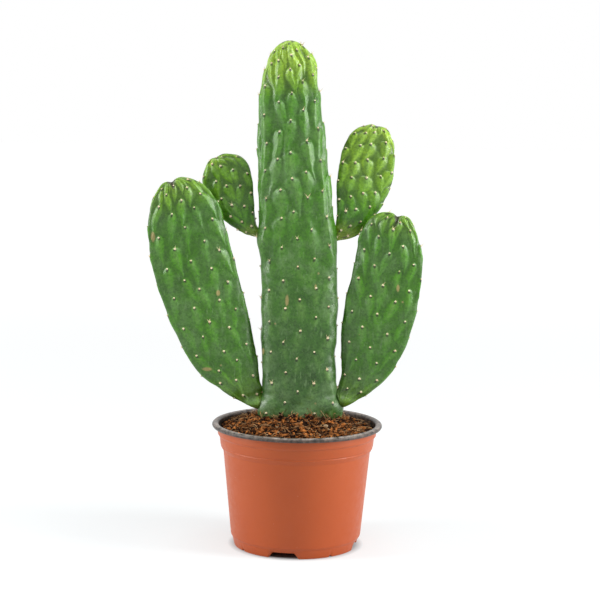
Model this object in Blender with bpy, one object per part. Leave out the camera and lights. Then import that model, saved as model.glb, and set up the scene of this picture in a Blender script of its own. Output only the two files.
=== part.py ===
"""Potted paddle cactus: a tall flat stem with four side pads, in a thin moulded nursery pot.

Metres, +Z up. The pieces are laid out round the pot's own axis and then moved together, so that
the origin ends up under the middle of the whole plant, on the surface that the pot stands on.
"""
import math

import bmesh
import bpy
from mathutils import Vector

MM = 0.001
GAP = 0.3 * MM                   # clearance left between pieces that touch

# Pot: one thermoformed sheet, radii and heights in millimetres.
SHEET = 0.9                      # wall thickness
RIM_RADIUS = 85.0
RIM_TOP = 124.0
LIP_HEIGHT = 4.3
LIP_REACH = 5.6                  # how far the rolled lip stands out from the wall
UPPER_COLLAR = (79.3, 112.4)     # radius and height at the foot of the band under the lip
COLLAR_TOP = (77.3, 110.4)
COLLAR_BOTTOM = (76.3, 100.5)
WALL_TOP = (73.4, 95.6)
WALL_BOTTOM = (65.2, 10.6)
FOOT_TOP = (63.7, 8.5)
FOOT_RADIUS = 61.8
FOOT_WIDTH = 4.4                 # flat ring that the pot stands on
BASE_UNDERSIDE = 7.4             # the floor of the pot is raised inside the foot
BASE_RADIUS = 54.0
CENTRE_DRAIN_RADIUS = 4.5
DRAIN_RADIUS = 5.0
DRAIN_CIRCLE = 37.0
DRAIN_COUNT = 6

# Openings formed up into the foot: four arches, and a small notch half way between them.
ARCH_COUNT = 4
ARCH_FIRST_DEG = -101.0          # direction of the first arch, just left of the front
ARCH_LIFT = 5.8
ARCH_TOP_DEG = 10.2              # half the angle that the top of an arch spans
ARCH_FOOT_DEG = 14.4             # and at its foot
NOTCH_LIFT = 3.0
NOTCH_HALF_DEG = 1.9
POT_STEP_DEG = 7.5

# Potting mix: a low dome of coir and peat.
MIX_EDGE_TOP = 118.2
MIX_CROWN_TOP = 130.6
MIX_DIP = 2.2                    # the mix has settled at the back right
MIX_DIP_DEG = 40.0
MIX_HEEL = 3.0                   # the mix's underside ends this far inside the wall
MIX_CLEARANCE = 0.5
MIX_TOP_RINGS = (0.93, 0.84, 0.72, 0.58, 0.42, 0.25)
MIX_SIDES = 40

# Main stem: left edge and right edge at each height, in millimetres from the pot's axis.
STEM_STATIONS = (
    (-13, 91, 19, 91), (-30, 102, 36, 102), (-37, 117, 43, 117),
    (-39.5, 134, 45.3, 134), (-39, 145, 44.6, 145), (-35, 159, 38.6, 159),
    (-35.8, 185, 37.5, 185), (-37.4, 222, 38.2, 222), (-37.6, 262, 37.6, 262),
    (-38.8, 288, 36.4, 288), (-41.8, 306, 37.6, 306), (-40, 327, 32.8, 327),
    (-41.8, 352, 30.6, 352), (-43, 388, 26.2, 388), (-42.6, 424, 21.6, 424),
    (-41, 450, 18.4, 450), (-37, 474, 14, 474), (-29.8, 492, 6, 492),
)
STEM_TIP = (-12, 502.3)

# Side pads: the edge on the left and the edge on the right at each station, from the narrow neck
# inside the stem's edge out to the rounded tip.
LOWER_LEFT_STATIONS = (
    (-33, 134.5, -31, 149), (-64, 146.8, -37.5, 165), (-97, 172, -41, 190),
    (-118.5, 204, -47, 222), (-134.5, 244, -57, 258), (-146.5, 284, -66, 294),
    (-149.5, 318, -73.5, 323), (-145, 347, -83, 347), (-133, 363, -99, 363.5),
)
LOWER_LEFT_TIP = (-117, 367.5)
LOWER_RIGHT_STATIONS = (
    (36, 148, 37, 137), (40.5, 158, 56, 144), (42.7, 180, 82, 162.5),
    (42.2, 205, 102, 190.5), (44.5, 233, 114, 226), (49, 264, 120.5, 263),
    (54.5, 293, 121.5, 289), (60, 317, 115, 318), (71, 332.5, 103.5, 333),
)
LOWER_RIGHT_TIP = (87.5, 336.6)
UPPER_LEFT_STATIONS = (
    (-35, 307.5, -35, 313.5), (-54, 311.5, -43, 321), (-75, 323.6, -44.7, 337),
    (-90, 337.5, -45.3, 350), (-96.8, 357, -46.3, 363), (-95, 375, -49.7, 376),
    (-86.5, 387, -58, 387.2),
)
UPPER_LEFT_TIP = (-72, 390)
UPPER_RIGHT_STATIONS = (
    (28, 311, 30, 304.5), (35, 322, 54, 310), (36.3, 340, 69.5, 324.5),
    (35.6, 360, 84, 346), (37, 382, 93, 372), (42, 400, 93, 398),
    (51.5, 415, 85, 415.5),
)
UPPER_RIGHT_TIP = (69, 422.3)

# Each paddle's half thickness at its neck, where it is fullest and near its tip; how far its
# middle lies in front of (-) or behind (+) the pot's axis at the neck and at the tip; and its turn.
PADDLES = {
    "main_stem": (STEM_STATIONS, STEM_TIP, (17.5, 15.5, 12.5), (0, 0), 0),
    "lower_left_pad": (LOWER_LEFT_STATIONS, LOWER_LEFT_TIP, (4.8, 8.2, 7.0), (0, -11), 7),
    "lower_right_pad": (LOWER_RIGHT_STATIONS, LOWER_RIGHT_TIP, (4.6, 7.8, 6.8), (0, -11), -7),
    "upper_left_pad": (UPPER_LEFT_STATIONS, UPPER_LEFT_TIP, (3.4, 6.6, 5.8), (3, 13), -6),
    "upper_right_pad": (UPPER_RIGHT_STATIONS, UPPER_RIGHT_TIP, (3.4, 6.6, 5.8), (3, 13), 6),
}
FULL_AT = 0.3                    # share of the length at which a paddle is fullest
EDGE_POWER = 2.4                 # 2 is an ellipse, more is a flatter face with rounder edges
END_ROUNDING = 9.0               # length over which a paddle's tip closes, in millimetres
STATION_STEPS = 3
PADDLE_SIDES = 16

# Roots: a corky crown under the stem, and thick roots that spread through the mix.
CROWN_CENTRE = (3, 0, 93)
CROWN_RADII = (21, 13, 10)
ROOT_COUNT = 7
ROOT_REACH = 44.0
ROOT_DEPTH = 62.0
ROOT_RADIUS = 3.6
ROOT_TIP_RADIUS = 1.3
ROOT_STEPS = 6
ROOT_SIDES = 7
ROOT_CLEARANCE = 0.8             # the roots lie a little looser in the mix
GOLDEN_ANGLE = math.radians(137.5)

MATERIALS = {                    # base colour, roughness, metallic
    "pot": ((0.56, 0.13, 0.045), 0.42, 0.0),
    "potting_mix": ((0.13, 0.055, 0.022), 0.95, 0.0),
    "roots": ((0.42, 0.30, 0.17), 0.85, 0.0),
    "main_stem": ((0.075, 0.21, 0.055), 0.45, 0.0),
    "lower_left_pad": ((0.085, 0.24, 0.045), 0.45, 0.0),
    "lower_right_pad": ((0.08, 0.23, 0.045), 0.45, 0.0),
    "upper_left_pad": ((0.10, 0.27, 0.03), 0.45, 0.0),
    "upper_right_pad": ((0.15, 0.33, 0.03), 0.45, 0.0),
}


def clear_scene():
    for old in list(bpy.data.objects):
        bpy.data.objects.remove(old, do_unlink=True)


def plain_material(name):
    colour, roughness, metallic = MATERIALS[name]
    material = bpy.data.materials.new(name)
    material.use_nodes = True
    shader = material.node_tree.nodes["Principled BSDF"]
    shader.inputs["Base Color"].default_value = (*colour, 1.0)
    shader.inputs["Roughness"].default_value = roughness
    shader.inputs["Metallic"].default_value = metallic
    return material


def object_from_bmesh(name, bm, grow=0.0):
    """Makes an object from a closed bmesh, with its surface moved outwards by grow."""
    bmesh.ops.recalc_face_normals(bm, faces=bm.faces)
    bm.normal_update()
    moves = [vert.normal * grow for vert in bm.verts]
    for vert, move in zip(bm.verts, moves):
        vert.co += move
    mesh = bpy.data.meshes.new(name)
    bm.to_mesh(mesh)
    bm.free()
    mesh.shade_smooth()
    mesh.set_sharp_from_angle(angle=math.radians(40))
    piece = bpy.data.objects.new(name, mesh)
    bpy.context.scene.collection.objects.link(piece)
    return piece


def finish(piece):
    piece.data.materials.append(plain_material(piece.name))
    return piece


def as_cutter(piece):
    piece.hide_render = True
    piece.display_type = "WIRE"
    return piece


def boolean(piece, other, operation):
    modifier = piece.modifiers.new(f"{operation}_{other.name}", "BOOLEAN")
    modifier.operation = operation
    modifier.object = other
    modifier.solver = "EXACT"


def skin_rings(bm, rings, end_points=(None, None)):
    """Joins rings of the same size into a tube, and closes each end, with a point if one is given."""
    loops = [[bm.verts.new(point) for point in ring] for ring in rings]
    sides = len(loops[0])
    for lower, upper in zip(loops, loops[1:]):
        for i in range(sides):
            j = (i + 1) % sides
            bm.faces.new((lower[i], lower[j], upper[j], upper[i]))
    for loop, point in zip((loops[0], loops[-1]), end_points):
        if point is None:
            bm.faces.new(loop)
            continue
        tip = bm.verts.new(point)
        for i in range(sides):
            bm.faces.new((loop[i], loop[(i + 1) % sides], tip))


def smooth_step(t):
    t = min(max(t, 0.0), 1.0)
    return t * t * (3 - 2 * t)


def curve_through(points, steps):
    """A Catmull-Rom curve through the points, with steps samples in each span."""
    first = points[0] * 2 - points[1]
    last = points[-1] * 2 - points[-2]
    path = [first, *points, last]
    samples = []
    for i in range(1, len(path) - 2):
        p0, p1, p2, p3 = path[i - 1:i + 3]
        for step in range(steps):
            t = step / steps
            bend = (p0 * 2 - p1 * 5 + p2 * 4 - p3) * t * t
            twist = (p1 * 3 - p0 - p2 * 3 + p3) * t * t * t
            samples.append((p1 * 2 + (p2 - p0) * t + bend + twist) * 0.5)
    samples.append(points[-1])
    return samples


def paddle(name, grow=0.0):
    """Lofts one flat paddle between its left and right edges, closing at a rounded tip."""
    stations, tip, half_depths, middles, turn_deg = PADDLES[name.removesuffix("_clearance")]
    left = [Vector((x, 0, z)) * MM for x, z, _, _ in stations]
    right = [Vector((x, 0, z)) * MM for _, _, x, z in stations]
    tip_point = Vector((tip[0], 0, tip[1])) * MM
    outline = curve_through([*left, tip_point, *reversed(right)], STATION_STEPS)
    count = len(outline) // 2
    start = (outline[0] + outline[-1]) / 2
    length = (tip_point - start).length
    turn = math.radians(turn_deg)
    rings = []
    for k in range(count):
        centre = (outline[k] + outline[-1 - k]) / 2
        half = (outline[-1 - k] - outline[k]) / 2
        share = min((centre - start).length / length, 1.0)
        to_end = (tip_point - centre).length
        neck, full, far = half_depths
        if share < FULL_AT:
            depth = neck + (full - neck) * smooth_step(share / FULL_AT)
        else:
            depth = full + (far - full) * (share - FULL_AT) / (1 - FULL_AT)
        closing = min(to_end / (END_ROUNDING * MM), 1.0)
        depth *= MM * math.sqrt(1 - (1 - closing) ** 2)
        out = Vector((0, 1, 0))
        across = half.normalized()
        wide = (across * math.cos(turn) + out * math.sin(turn)) * half.length
        thick = (out * math.cos(turn) - across * math.sin(turn)) * depth
        middle = centre + out * (middles[0] + (middles[1] - middles[0]) * share) * MM
        rings.append([middle + wide * a + thick * b for a, b in section(PADDLE_SIDES)])
    bm = bmesh.new()
    skin_rings(bm, rings, (None, tip_point + Vector((0, middles[1] * MM, 0))))
    return object_from_bmesh(name, bm, grow)


def section(sides):
    """Points round a superellipse of half width 1 and half thickness 1."""
    points = []
    for i in range(sides):
        angle = 2 * math.pi * i / sides
        a = math.cos(angle)
        b = math.sin(angle)
        points.append((math.copysign(abs(a) ** (2 / EDGE_POWER), a),
                       math.copysign(abs(b) ** (2 / EDGE_POWER), b)))
    return points


def pot_outside(lift):
    """Radius and height down the outside of the pot, from the lip to the middle of its base."""
    wall_under_lip = RIM_RADIUS - LIP_REACH
    lip_bottom = RIM_TOP - LIP_HEIGHT
    return [(wall_under_lip + 0.9, RIM_TOP), (RIM_RADIUS - 1.2, RIM_TOP),
            (RIM_RADIUS, RIM_TOP - 1.3), (RIM_RADIUS, lip_bottom + 1.2),
            (RIM_RADIUS - 0.9, lip_bottom), (wall_under_lip, lip_bottom),
            UPPER_COLLAR, COLLAR_TOP, COLLAR_BOTTOM, WALL_TOP, WALL_BOTTOM, FOOT_TOP,
            (FOOT_RADIUS, lift), (FOOT_RADIUS - FOOT_WIDTH, lift),
            (BASE_RADIUS, BASE_UNDERSIDE), (CENTRE_DRAIN_RADIUS, BASE_UNDERSIDE)]


def pot_inside(lift):
    """Radius and height up the inside of the pot, from the middle of its base to the lip."""
    inner_foot = FOOT_RADIUS - FOOT_WIDTH + SHEET
    return [(CENTRE_DRAIN_RADIUS, BASE_UNDERSIDE + SHEET),
            (BASE_RADIUS + SHEET, BASE_UNDERSIDE + SHEET),
            (inner_foot, lift + SHEET), (FOOT_RADIUS - SHEET, lift + SHEET),
            (FOOT_TOP[0] - SHEET, FOOT_TOP[1] + 0.4), (WALL_BOTTOM[0] - SHEET, WALL_BOTTOM[1] + 0.4),
            (WALL_TOP[0] - SHEET, WALL_TOP[1] + 0.4),
            (COLLAR_BOTTOM[0] - SHEET, COLLAR_BOTTOM[1] + 0.4),
            (COLLAR_TOP[0] - SHEET, COLLAR_TOP[1] + 0.5),
            (UPPER_COLLAR[0] - SHEET, UPPER_COLLAR[1] + 0.5),
            (RIM_RADIUS - LIP_REACH - SHEET, RIM_TOP - 1.0)]


def foot_lift(angle_deg):
    """Height of the foot's underside: raised over each arch and each small notch."""
    pitch = 360 / ARCH_COUNT
    offset = abs((angle_deg - ARCH_FIRST_DEG + pitch / 2) % pitch - pitch / 2)
    slope = (ARCH_FOOT_DEG - offset) / (ARCH_FOOT_DEG - ARCH_TOP_DEG)
    arch = ARCH_LIFT * min(max(slope, 0.0), 1.0)
    notch = NOTCH_LIFT * max(1 - (pitch / 2 - offset) / NOTCH_HALF_DEG, 0.0)
    return max(arch, notch)


def pot_angles():
    """Angles for the pot's sides: even steps, and the corners of each arch and notch."""
    pitch = 360 / ARCH_COUNT
    corners = (0, ARCH_TOP_DEG, ARCH_FOOT_DEG, pitch / 2 - NOTCH_HALF_DEG, pitch / 2)
    steps = int(pitch / 2 / POT_STEP_DEG)
    angles = set()
    for arch in range(ARCH_COUNT):
        centre = ARCH_FIRST_DEG + arch * pitch
        for side in (-1, 1):
            for corner in corners:
                angles.add(round((centre + side * corner) % 360, 4))
            for step in range(steps):
                even = step * POT_STEP_DEG
                if min(abs(even - corner) for corner in corners) > NOTCH_HALF_DEG:
                    angles.add(round((centre + side * even) % 360, 4))
    return sorted(angles)


def make_pot():
    rings = []
    for angle_deg in pot_angles():
        lift = foot_lift(angle_deg)
        angle = math.radians(angle_deg)
        out = Vector((math.cos(angle), math.sin(angle), 0))
        profile = pot_outside(lift) + pot_inside(lift)
        rings.append([(out * radius + Vector((0, 0, height))) * MM for radius, height in profile])
    bm = bmesh.new()
    loops = [[bm.verts.new(point) for point in ring] for ring in rings]
    for here, there in zip(loops, loops[1:] + loops[:1]):
        for i in range(len(here)):
            j = (i + 1) % len(here)
            bm.faces.new((here[i], there[i], there[j], here[j]))
    pot = finish(object_from_bmesh("pot", bm))
    for i in range(DRAIN_COUNT):
        angle = math.radians(ARCH_FIRST_DEG) + 2 * math.pi * i / DRAIN_COUNT
        place = Vector((math.cos(angle), math.sin(angle), 0)) * DRAIN_CIRCLE
        boolean(pot, drain_cutter(f"drain_cutter_{i + 1}", place), "DIFFERENCE")
    return pot


def drain_cutter(name, place):
    bm = bmesh.new()
    bmesh.ops.create_cone(bm, cap_ends=True, segments=20, radius1=DRAIN_RADIUS * MM,
                          radius2=DRAIN_RADIUS * MM, depth=6 * MM)
    cutter = object_from_bmesh(name, bm)
    cutter.location = (place + Vector((0, 0, BASE_UNDERSIDE))) * MM
    return as_cutter(cutter)


def mix_height(share, angle):
    """Height of the mix at a share of its radius: a dome, lower at the back right, with lumps."""
    dome = MIX_EDGE_TOP + (MIX_CROWN_TOP - MIX_EDGE_TOP) * (1 - share * share)
    dip = MIX_DIP * share ** 3 * max(math.cos(angle - math.radians(MIX_DIP_DEG)), 0.0) ** 3
    lumps = 0.5 * share * math.sin(7 * angle + 9 * share) * math.cos(11 * share - 2 * angle)
    return dome - dip + lumps


def make_potting_mix(stem_clearance, roots_clearance):
    edge_radius = UPPER_COLLAR[0] - SHEET - MIX_CLEARANCE
    inside = [(radius - MIX_CLEARANCE, height) for radius, height in pot_inside(0)[4:-1]]
    floor = BASE_UNDERSIDE + SHEET + MIX_CLEARANCE
    rings = []
    angles = [2 * math.pi * i / MIX_SIDES for i in range(MIX_SIDES)]
    for radius, height in [(inside[0][0] - MIX_HEEL, floor), *inside]:
        rings.append([Vector((radius * math.cos(a), radius * math.sin(a), height)) * MM
                      for a in angles])
    for share in (1.0, *MIX_TOP_RINGS):
        radius = edge_radius * share
        rings.append([Vector((radius * math.cos(a), radius * math.sin(a),
                              mix_height(share, a))) * MM for a in angles])
    bm = bmesh.new()
    skin_rings(bm, rings, (Vector((0, 0, floor)) * MM, Vector((0, 0, mix_height(0, 0))) * MM))
    mix = finish(object_from_bmesh("potting_mix", bm))
    boolean(mix, stem_clearance, "DIFFERENCE")
    boolean(mix, roots_clearance, "DIFFERENCE")
    return mix


def root_tube(name, index, grow):
    """One tapering root, from inside the crown out and down through the mix."""
    heading = index * GOLDEN_ANGLE
    crown = Vector(CROWN_CENTRE) - Vector((0, 0, CROWN_RADII[2] / 2))
    depth = ROOT_DEPTH * (0.72 + 0.28 * math.cos(2.1 * index))
    path = []
    for step in range(ROOT_STEPS + 1):
        t = step / ROOT_STEPS
        bend = heading + 0.5 * math.sin(3 * t + index)
        reach = ROOT_REACH * t * (1.25 - 0.25 * t)
        path.append(crown + Vector((reach * math.cos(bend), reach * math.sin(bend),
                                    -depth * t * (0.35 + 0.65 * t))))
    rings = []
    for step, point in enumerate(path):
        ahead = path[min(step + 1, ROOT_STEPS)] - path[max(step - 1, 0)]
        side = ahead.cross(Vector((0, 0, 1))).normalized()
        over = side.cross(ahead).normalized()
        t = step / ROOT_STEPS
        radius = ROOT_RADIUS + (ROOT_TIP_RADIUS - ROOT_RADIUS) * t
        rings.append([(point + (side * math.cos(a) + over * math.sin(a)) * radius) * MM
                      for a in (2 * math.pi * i / ROOT_SIDES for i in range(ROOT_SIDES))])
    bm = bmesh.new()
    skin_rings(bm, rings)
    return as_cutter(object_from_bmesh(name, bm, grow))


def crown_and_roots(name, grow=0.0):
    """The crown under the stem with all of its roots, joined into one body."""
    bm = bmesh.new()
    bmesh.ops.create_uvsphere(bm, u_segments=20, v_segments=12, radius=MM)
    bmesh.ops.scale(bm, vec=CROWN_RADII, verts=bm.verts)
    bmesh.ops.translate(bm, vec=Vector(CROWN_CENTRE) * MM, verts=bm.verts)
    crown = object_from_bmesh(name, bm, grow)
    for index in range(ROOT_COUNT):
        boolean(crown, root_tube(f"{name}_tube_{index + 1}", index, grow), "UNION")
    return crown


def stand_under_middle():
    """Moves everything so that the origin is the middle of the box's underside."""
    bpy.context.view_layer.update()
    graph = bpy.context.evaluated_depsgraph_get()
    corners = []
    for piece in bpy.data.objects:
        if not piece.hide_render:
            placed = piece.evaluated_get(graph)
            corners += [placed.matrix_world @ Vector(corner) for corner in placed.bound_box]
    low = Vector([min(corner[i] for corner in corners) for i in range(3)])
    high = Vector([max(corner[i] for corner in corners) for i in range(3)])
    middle = (low + high) / 2
    for piece in bpy.data.objects:
        piece.location -= Vector((middle.x, middle.y, low.z))


def main():
    clear_scene()
    stem_clearance = as_cutter(paddle("main_stem_clearance", GAP))
    roots_clearance = as_cutter(crown_and_roots("roots_clearance", ROOT_CLEARANCE * MM))
    make_pot()
    make_potting_mix(stem_clearance, roots_clearance)
    roots = finish(crown_and_roots("roots"))
    boolean(roots, stem_clearance, "DIFFERENCE")
    for name in PADDLES:
        piece = finish(paddle(name))
        if name != "main_stem":
            boolean(piece, stem_clearance, "DIFFERENCE")
    stand_under_middle()


main()
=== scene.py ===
# %% [markdown]
# # A potted paddle cactus
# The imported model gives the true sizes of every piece: a tall flat stem, four side pads, the
# potting mix, the roots and a thin nursery pot. This script keeps those sizes and gives each
# piece its surface: bumps and woolly areoles on the green skin, loose bark and coir on the mix,
# and a two-colour plastic pot with a rolled black lip.

# %% Load the frame
import math

import bmesh
import bpy
import numpy as np
from mathutils import Matrix, Vector, noise


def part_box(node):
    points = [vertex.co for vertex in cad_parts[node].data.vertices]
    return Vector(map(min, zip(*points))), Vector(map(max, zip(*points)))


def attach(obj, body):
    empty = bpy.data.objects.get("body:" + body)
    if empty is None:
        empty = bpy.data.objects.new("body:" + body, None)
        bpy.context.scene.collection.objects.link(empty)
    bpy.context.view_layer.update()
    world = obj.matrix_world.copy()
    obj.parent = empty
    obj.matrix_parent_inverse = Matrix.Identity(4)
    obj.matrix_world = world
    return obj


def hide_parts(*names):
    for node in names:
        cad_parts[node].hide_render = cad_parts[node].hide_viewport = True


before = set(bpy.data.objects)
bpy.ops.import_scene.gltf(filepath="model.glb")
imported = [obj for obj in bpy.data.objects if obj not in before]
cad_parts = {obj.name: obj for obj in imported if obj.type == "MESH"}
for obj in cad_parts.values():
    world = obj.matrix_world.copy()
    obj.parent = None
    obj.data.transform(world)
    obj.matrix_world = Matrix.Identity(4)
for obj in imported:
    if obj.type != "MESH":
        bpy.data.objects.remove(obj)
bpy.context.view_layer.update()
MM = 0.001
UP = Vector((0, 0, 1))


def middle_of(node):
    low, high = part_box(node)
    return (Vector(low) + Vector(high)) / 2


POT_MIDDLE = middle_of("pot")
POT_AXIS = Vector((POT_MIDDLE.x, POT_MIDDLE.y, 0))
RIM_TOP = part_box("pot")[1][2]
print("pot axis", [round(v, 4) for v in POT_AXIS], "rim at", round(RIM_TOP, 4))

# %% [markdown]
# ## Camera, light and floor
# The plant stands on a white sweep and is seen from a little above its middle, through a long
# lens. Two tall soft boxes stand to the left and the right, which is what draws the two broad
# upright highlights on the pot, and a large soft light hangs overhead.

# %% Camera
CAMERA_DISTANCE = 1.6
CAMERA_HEIGHT = 0.4404
CAMERA_SIDE = 0.0011
CAMERA_DIP = math.radians(6.89)
CAMERA_ROLL = 0.0148
CAMERA_LENS = 97.37


def add_object(name, data, *materials):
    thing = bpy.data.objects.new(name, data)
    bpy.context.scene.collection.objects.link(thing)
    for material in materials:
        data.materials.append(material)
    return thing


def make_camera():
    forward = Vector((0, math.cos(CAMERA_DIP), -math.sin(CAMERA_DIP)))
    level = Vector((1, 0, 0))
    above = level.cross(forward)
    right = level * math.cos(CAMERA_ROLL) + above * math.sin(CAMERA_ROLL)
    up = above * math.cos(CAMERA_ROLL) - level * math.sin(CAMERA_ROLL)
    data = bpy.data.cameras.new("camera")
    data.lens = CAMERA_LENS
    camera = add_object("camera", data)
    place = POT_AXIS + Vector((CAMERA_SIDE, -CAMERA_DISTANCE, CAMERA_HEIGHT))
    turn = Matrix((right, up, -forward)).transposed()
    camera.matrix_world = Matrix.Translation(place) @ turn.to_4x4()
    bpy.context.scene.camera = camera
    print("camera at", [round(v, 3) for v in place])


make_camera()
bpy.context.scene.view_settings.view_transform = "Standard"

# %% Soft boxes
LOOK_AT = POT_AXIS + Vector((0, 0, 0.22))
SOFT_BOXES = (                       # name, direction and distance, width, height, power
    ("left_box", (-1.5, -0.30, 0.45), 0.5, 1.3, 20.0),
    ("right_box", (1.5, -0.42, 0.50), 0.6, 1.3, 27.0),
    ("top_box", (0.1, -0.25, 1.55), 1.1, 1.1, 12.0),
)


def add_soft_box(name, offset, width, height, power):
    data = bpy.data.lights.new(name, "AREA")
    data.shape = "RECTANGLE"
    data.size = width
    data.size_y = height
    data.energy = power
    lamp = add_object(name, data)
    lamp.location = LOOK_AT + Vector(offset)
    lamp.rotation_euler = Vector(offset).to_track_quat("Z", "Y").to_euler()


for soft_box in SOFT_BOXES:
    add_soft_box(*soft_box)
print(len(SOFT_BOXES), "soft boxes")

# %% Node helpers: every material and every node group below is wired with these
def add_node(tree, kind, values=None, **settings):
    """A new node. An input that is given a socket is joined to it, and others get a value."""
    node = tree.nodes.new(kind)
    for name, value in settings.items():
        setattr(node, name, value)
    for name, value in (values or {}).items():
        if isinstance(value, bpy.types.NodeSocket):
            tree.links.new(value, node.inputs[name])
        else:
            node.inputs[name].default_value = value
    return node


def join(tree, *pairs):
    for source, target in pairs:
        tree.links.new(source, target)


def math_of(tree, operation, *values):
    return add_node(tree, "ShaderNodeMath", dict(enumerate(values)), operation=operation).outputs[0]


def value_range(tree, source, low, high, new_low=0.0, new_high=1.0):
    return add_node(tree, "ShaderNodeMapRange", {
        "Value": source, "From Min": low, "From Max": high, "To Min": new_low,
        "To Max": new_high}).outputs["Result"]


def emptied(block):
    """Turns a world or a material over to nodes, and gives its empty tree."""
    block.use_nodes = True
    block.node_tree.nodes.clear()
    return block.node_tree


def seen_directly(tree):
    """1 for rays from the camera and for rays that shiny or clear surfaces send on."""
    rays = add_node(tree, "ShaderNodeLightPath").outputs
    either = math_of(tree, "MAXIMUM", rays["Is Camera Ray"], rays["Is Glossy Ray"])
    return math_of(tree, "MAXIMUM", either, rays["Is Transmission Ray"])


def shown_or_lighting(tree, shown, lighting):
    """One shader where it is seen directly, and another for the light that it sends out."""
    return add_node(tree, "ShaderNodeMixShader", {
        0: seen_directly(tree), 1: lighting.outputs[0], 2: shown.outputs[0]}).outputs[0]


# %% White surroundings
WORLD_STRENGTH = 0.20
WHITE = (1, 1, 1, 1)


def make_world():
    world = bpy.data.worlds.new("white_room")
    bpy.context.scene.world = world
    tree = emptied(world)
    lighting, shown = (add_node(tree, "ShaderNodeBackground", {"Color": WHITE, "Strength": strength})
                       for strength in (WORLD_STRENGTH, 1.0))
    add_node(tree, "ShaderNodeOutputWorld", {"Surface": shown_or_lighting(tree, shown, lighting)})


make_world()

# %% Floor
FLOOR_SIZE = 30.0
FLOOR_COLOUR = (0.370, 0.396, 0.404, 1)
BOUNCE_COLOUR = (0.64, 0.64, 0.64, 1)  # what the floor sends up to the object
GLOW_NEAR = 0.64                     # lifts the floor to white where it is seen directly: a
GLOW_FAR = 0.94                      # little near the pot, and more away from the soft boxes
GLOW_START = 0.25
GLOW_END = 2.5
# The glow fades in between these two radii, which paints a thin contact shadow on the floor round
# the pot's foot.
UNDER_POT = 0.056                    # no glow under the pot, so that it stands in its own shade
CONTACT_SHADOW_END = 0.069


def make_floor():
    mesh = bpy.data.meshes.new("floor")
    half = FLOOR_SIZE / 2
    corners = [(-half, -half, 0), (half, -half, 0), (half, half, 0), (-half, half, 0)]
    mesh.from_pydata(corners, [], [(0, 1, 2, 3)])
    material = bpy.data.materials.new("white_sweep")
    tree = emptied(material)
    place = add_node(tree, "ShaderNodeTexCoord").outputs["Object"]
    away = add_node(tree, "ShaderNodeVectorMath", {0: place}, operation="LENGTH")
    from_pot = add_node(tree, "ShaderNodeVectorMath", {0: place, 1: POT_AXIS},
                        operation="DISTANCE")
    spread = value_range(tree, away.outputs["Value"], GLOW_START, GLOW_END, GLOW_NEAR, GLOW_FAR)
    # painted contact shadow: no glow under the pot, fading in just outside its foot
    clear_of_contact_shadow = value_range(tree, from_pot.outputs["Value"], UNDER_POT, CONTACT_SHADOW_END)
    amount = math_of(tree, "MULTIPLY", seen_directly(tree), spread)
    glow = add_node(tree, "ShaderNodeEmission", {
        "Color": WHITE, "Strength": math_of(tree, "MULTIPLY", clear_of_contact_shadow, amount)})
    shown, lighting = (add_node(tree, "ShaderNodeBsdfDiffuse", {"Color": colour})
                       for colour in (FLOOR_COLOUR, BOUNCE_COLOUR))
    both = add_node(tree, "ShaderNodeAddShader", {
        0: shown_or_lighting(tree, shown, lighting), 1: glow.outputs[0]})
    add_node(tree, "ShaderNodeOutputMaterial", {"Surface": both.outputs[0]})
    add_object("floor", mesh, material)


make_floor()
print("floor and world ready")

# %% [markdown]
# ## Shared shader groups
# Three effects come back in several finishes, so each is a node group: soft mottling of a
# colour, fine specks that stand out from it, and a fine grain for the bump.

# %% Group helpers
SOCKETS = {"colour": "NodeSocketColor", "value": "NodeSocketFloat", "vector": "NodeSocketVector",
           "int": "NodeSocketInt", "material": "NodeSocketMaterial",
           "geometry": "NodeSocketGeometry"}


def node_group(name, kind, inputs, outputs):
    """An empty node group: its tree, what it is given and what it has to make."""
    tree = bpy.data.node_groups.new(name, kind)
    for in_out, sockets in (("INPUT", inputs), ("OUTPUT", outputs)):
        for label, socket_kind, *default in sockets:
            socket = tree.interface.new_socket(label, in_out=in_out,
                                               socket_type=SOCKETS[socket_kind])
            if default:
                socket.default_value = default[0]
    return tree, add_node(tree, "NodeGroupInput").outputs, add_node(tree, "NodeGroupOutput").inputs


def place_group(tree, group, place, **values):
    """Puts a shader group into a material, and gives its outputs."""
    named_values = {label.replace("_", " "): value for label, value in values.items()}
    return add_node(tree, "ShaderNodeGroup", {"Position": place, **named_values},
                    node_tree=group).outputs


def blend_colours(tree, factor, first, second, mode="MIX"):
    """Mixes two colours: each may be a socket or a plain colour."""
    first, second = ((*value, 1) if isinstance(value, tuple) else value
                     for value in (first, second))
    return add_node(tree, "ShaderNodeMix", {0: factor, 6: first, 7: second},
                    data_type="RGBA", blend_type=mode).outputs[2]


def noise_of(tree, place, scale, detail=2.0, roughness=0.5):
    return add_node(tree, "ShaderNodeTexNoise", {
        "Vector": place, "Scale": scale, "Detail": detail, "Roughness": roughness}).outputs["Fac"]


# %% Mottling: two colours blended by soft noise
def make_mottle():
    tree, given, made = node_group(
        "mottle", "ShaderNodeTree",
        [("Position", "vector"), ("Scale", "value", 60.0), ("Amount", "value", 0.5),
         ("Base", "colour", (0.5, 0.5, 0.5, 1)), ("Other", "colour", (0.4, 0.4, 0.4, 1))],
        [("Colour", "colour"), ("Mask", "value")])
    mask = value_range(tree, noise_of(tree, given["Position"], given["Scale"], 4.0, 0.6), 0.35, 0.68)
    colour = blend_colours(tree, math_of(tree, "MULTIPLY", mask, given["Amount"]),
                           given["Base"], given["Other"])
    join(tree, (colour, made["Colour"]), (mask, made["Mask"]))
    return tree


MOTTLE = make_mottle()


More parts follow.
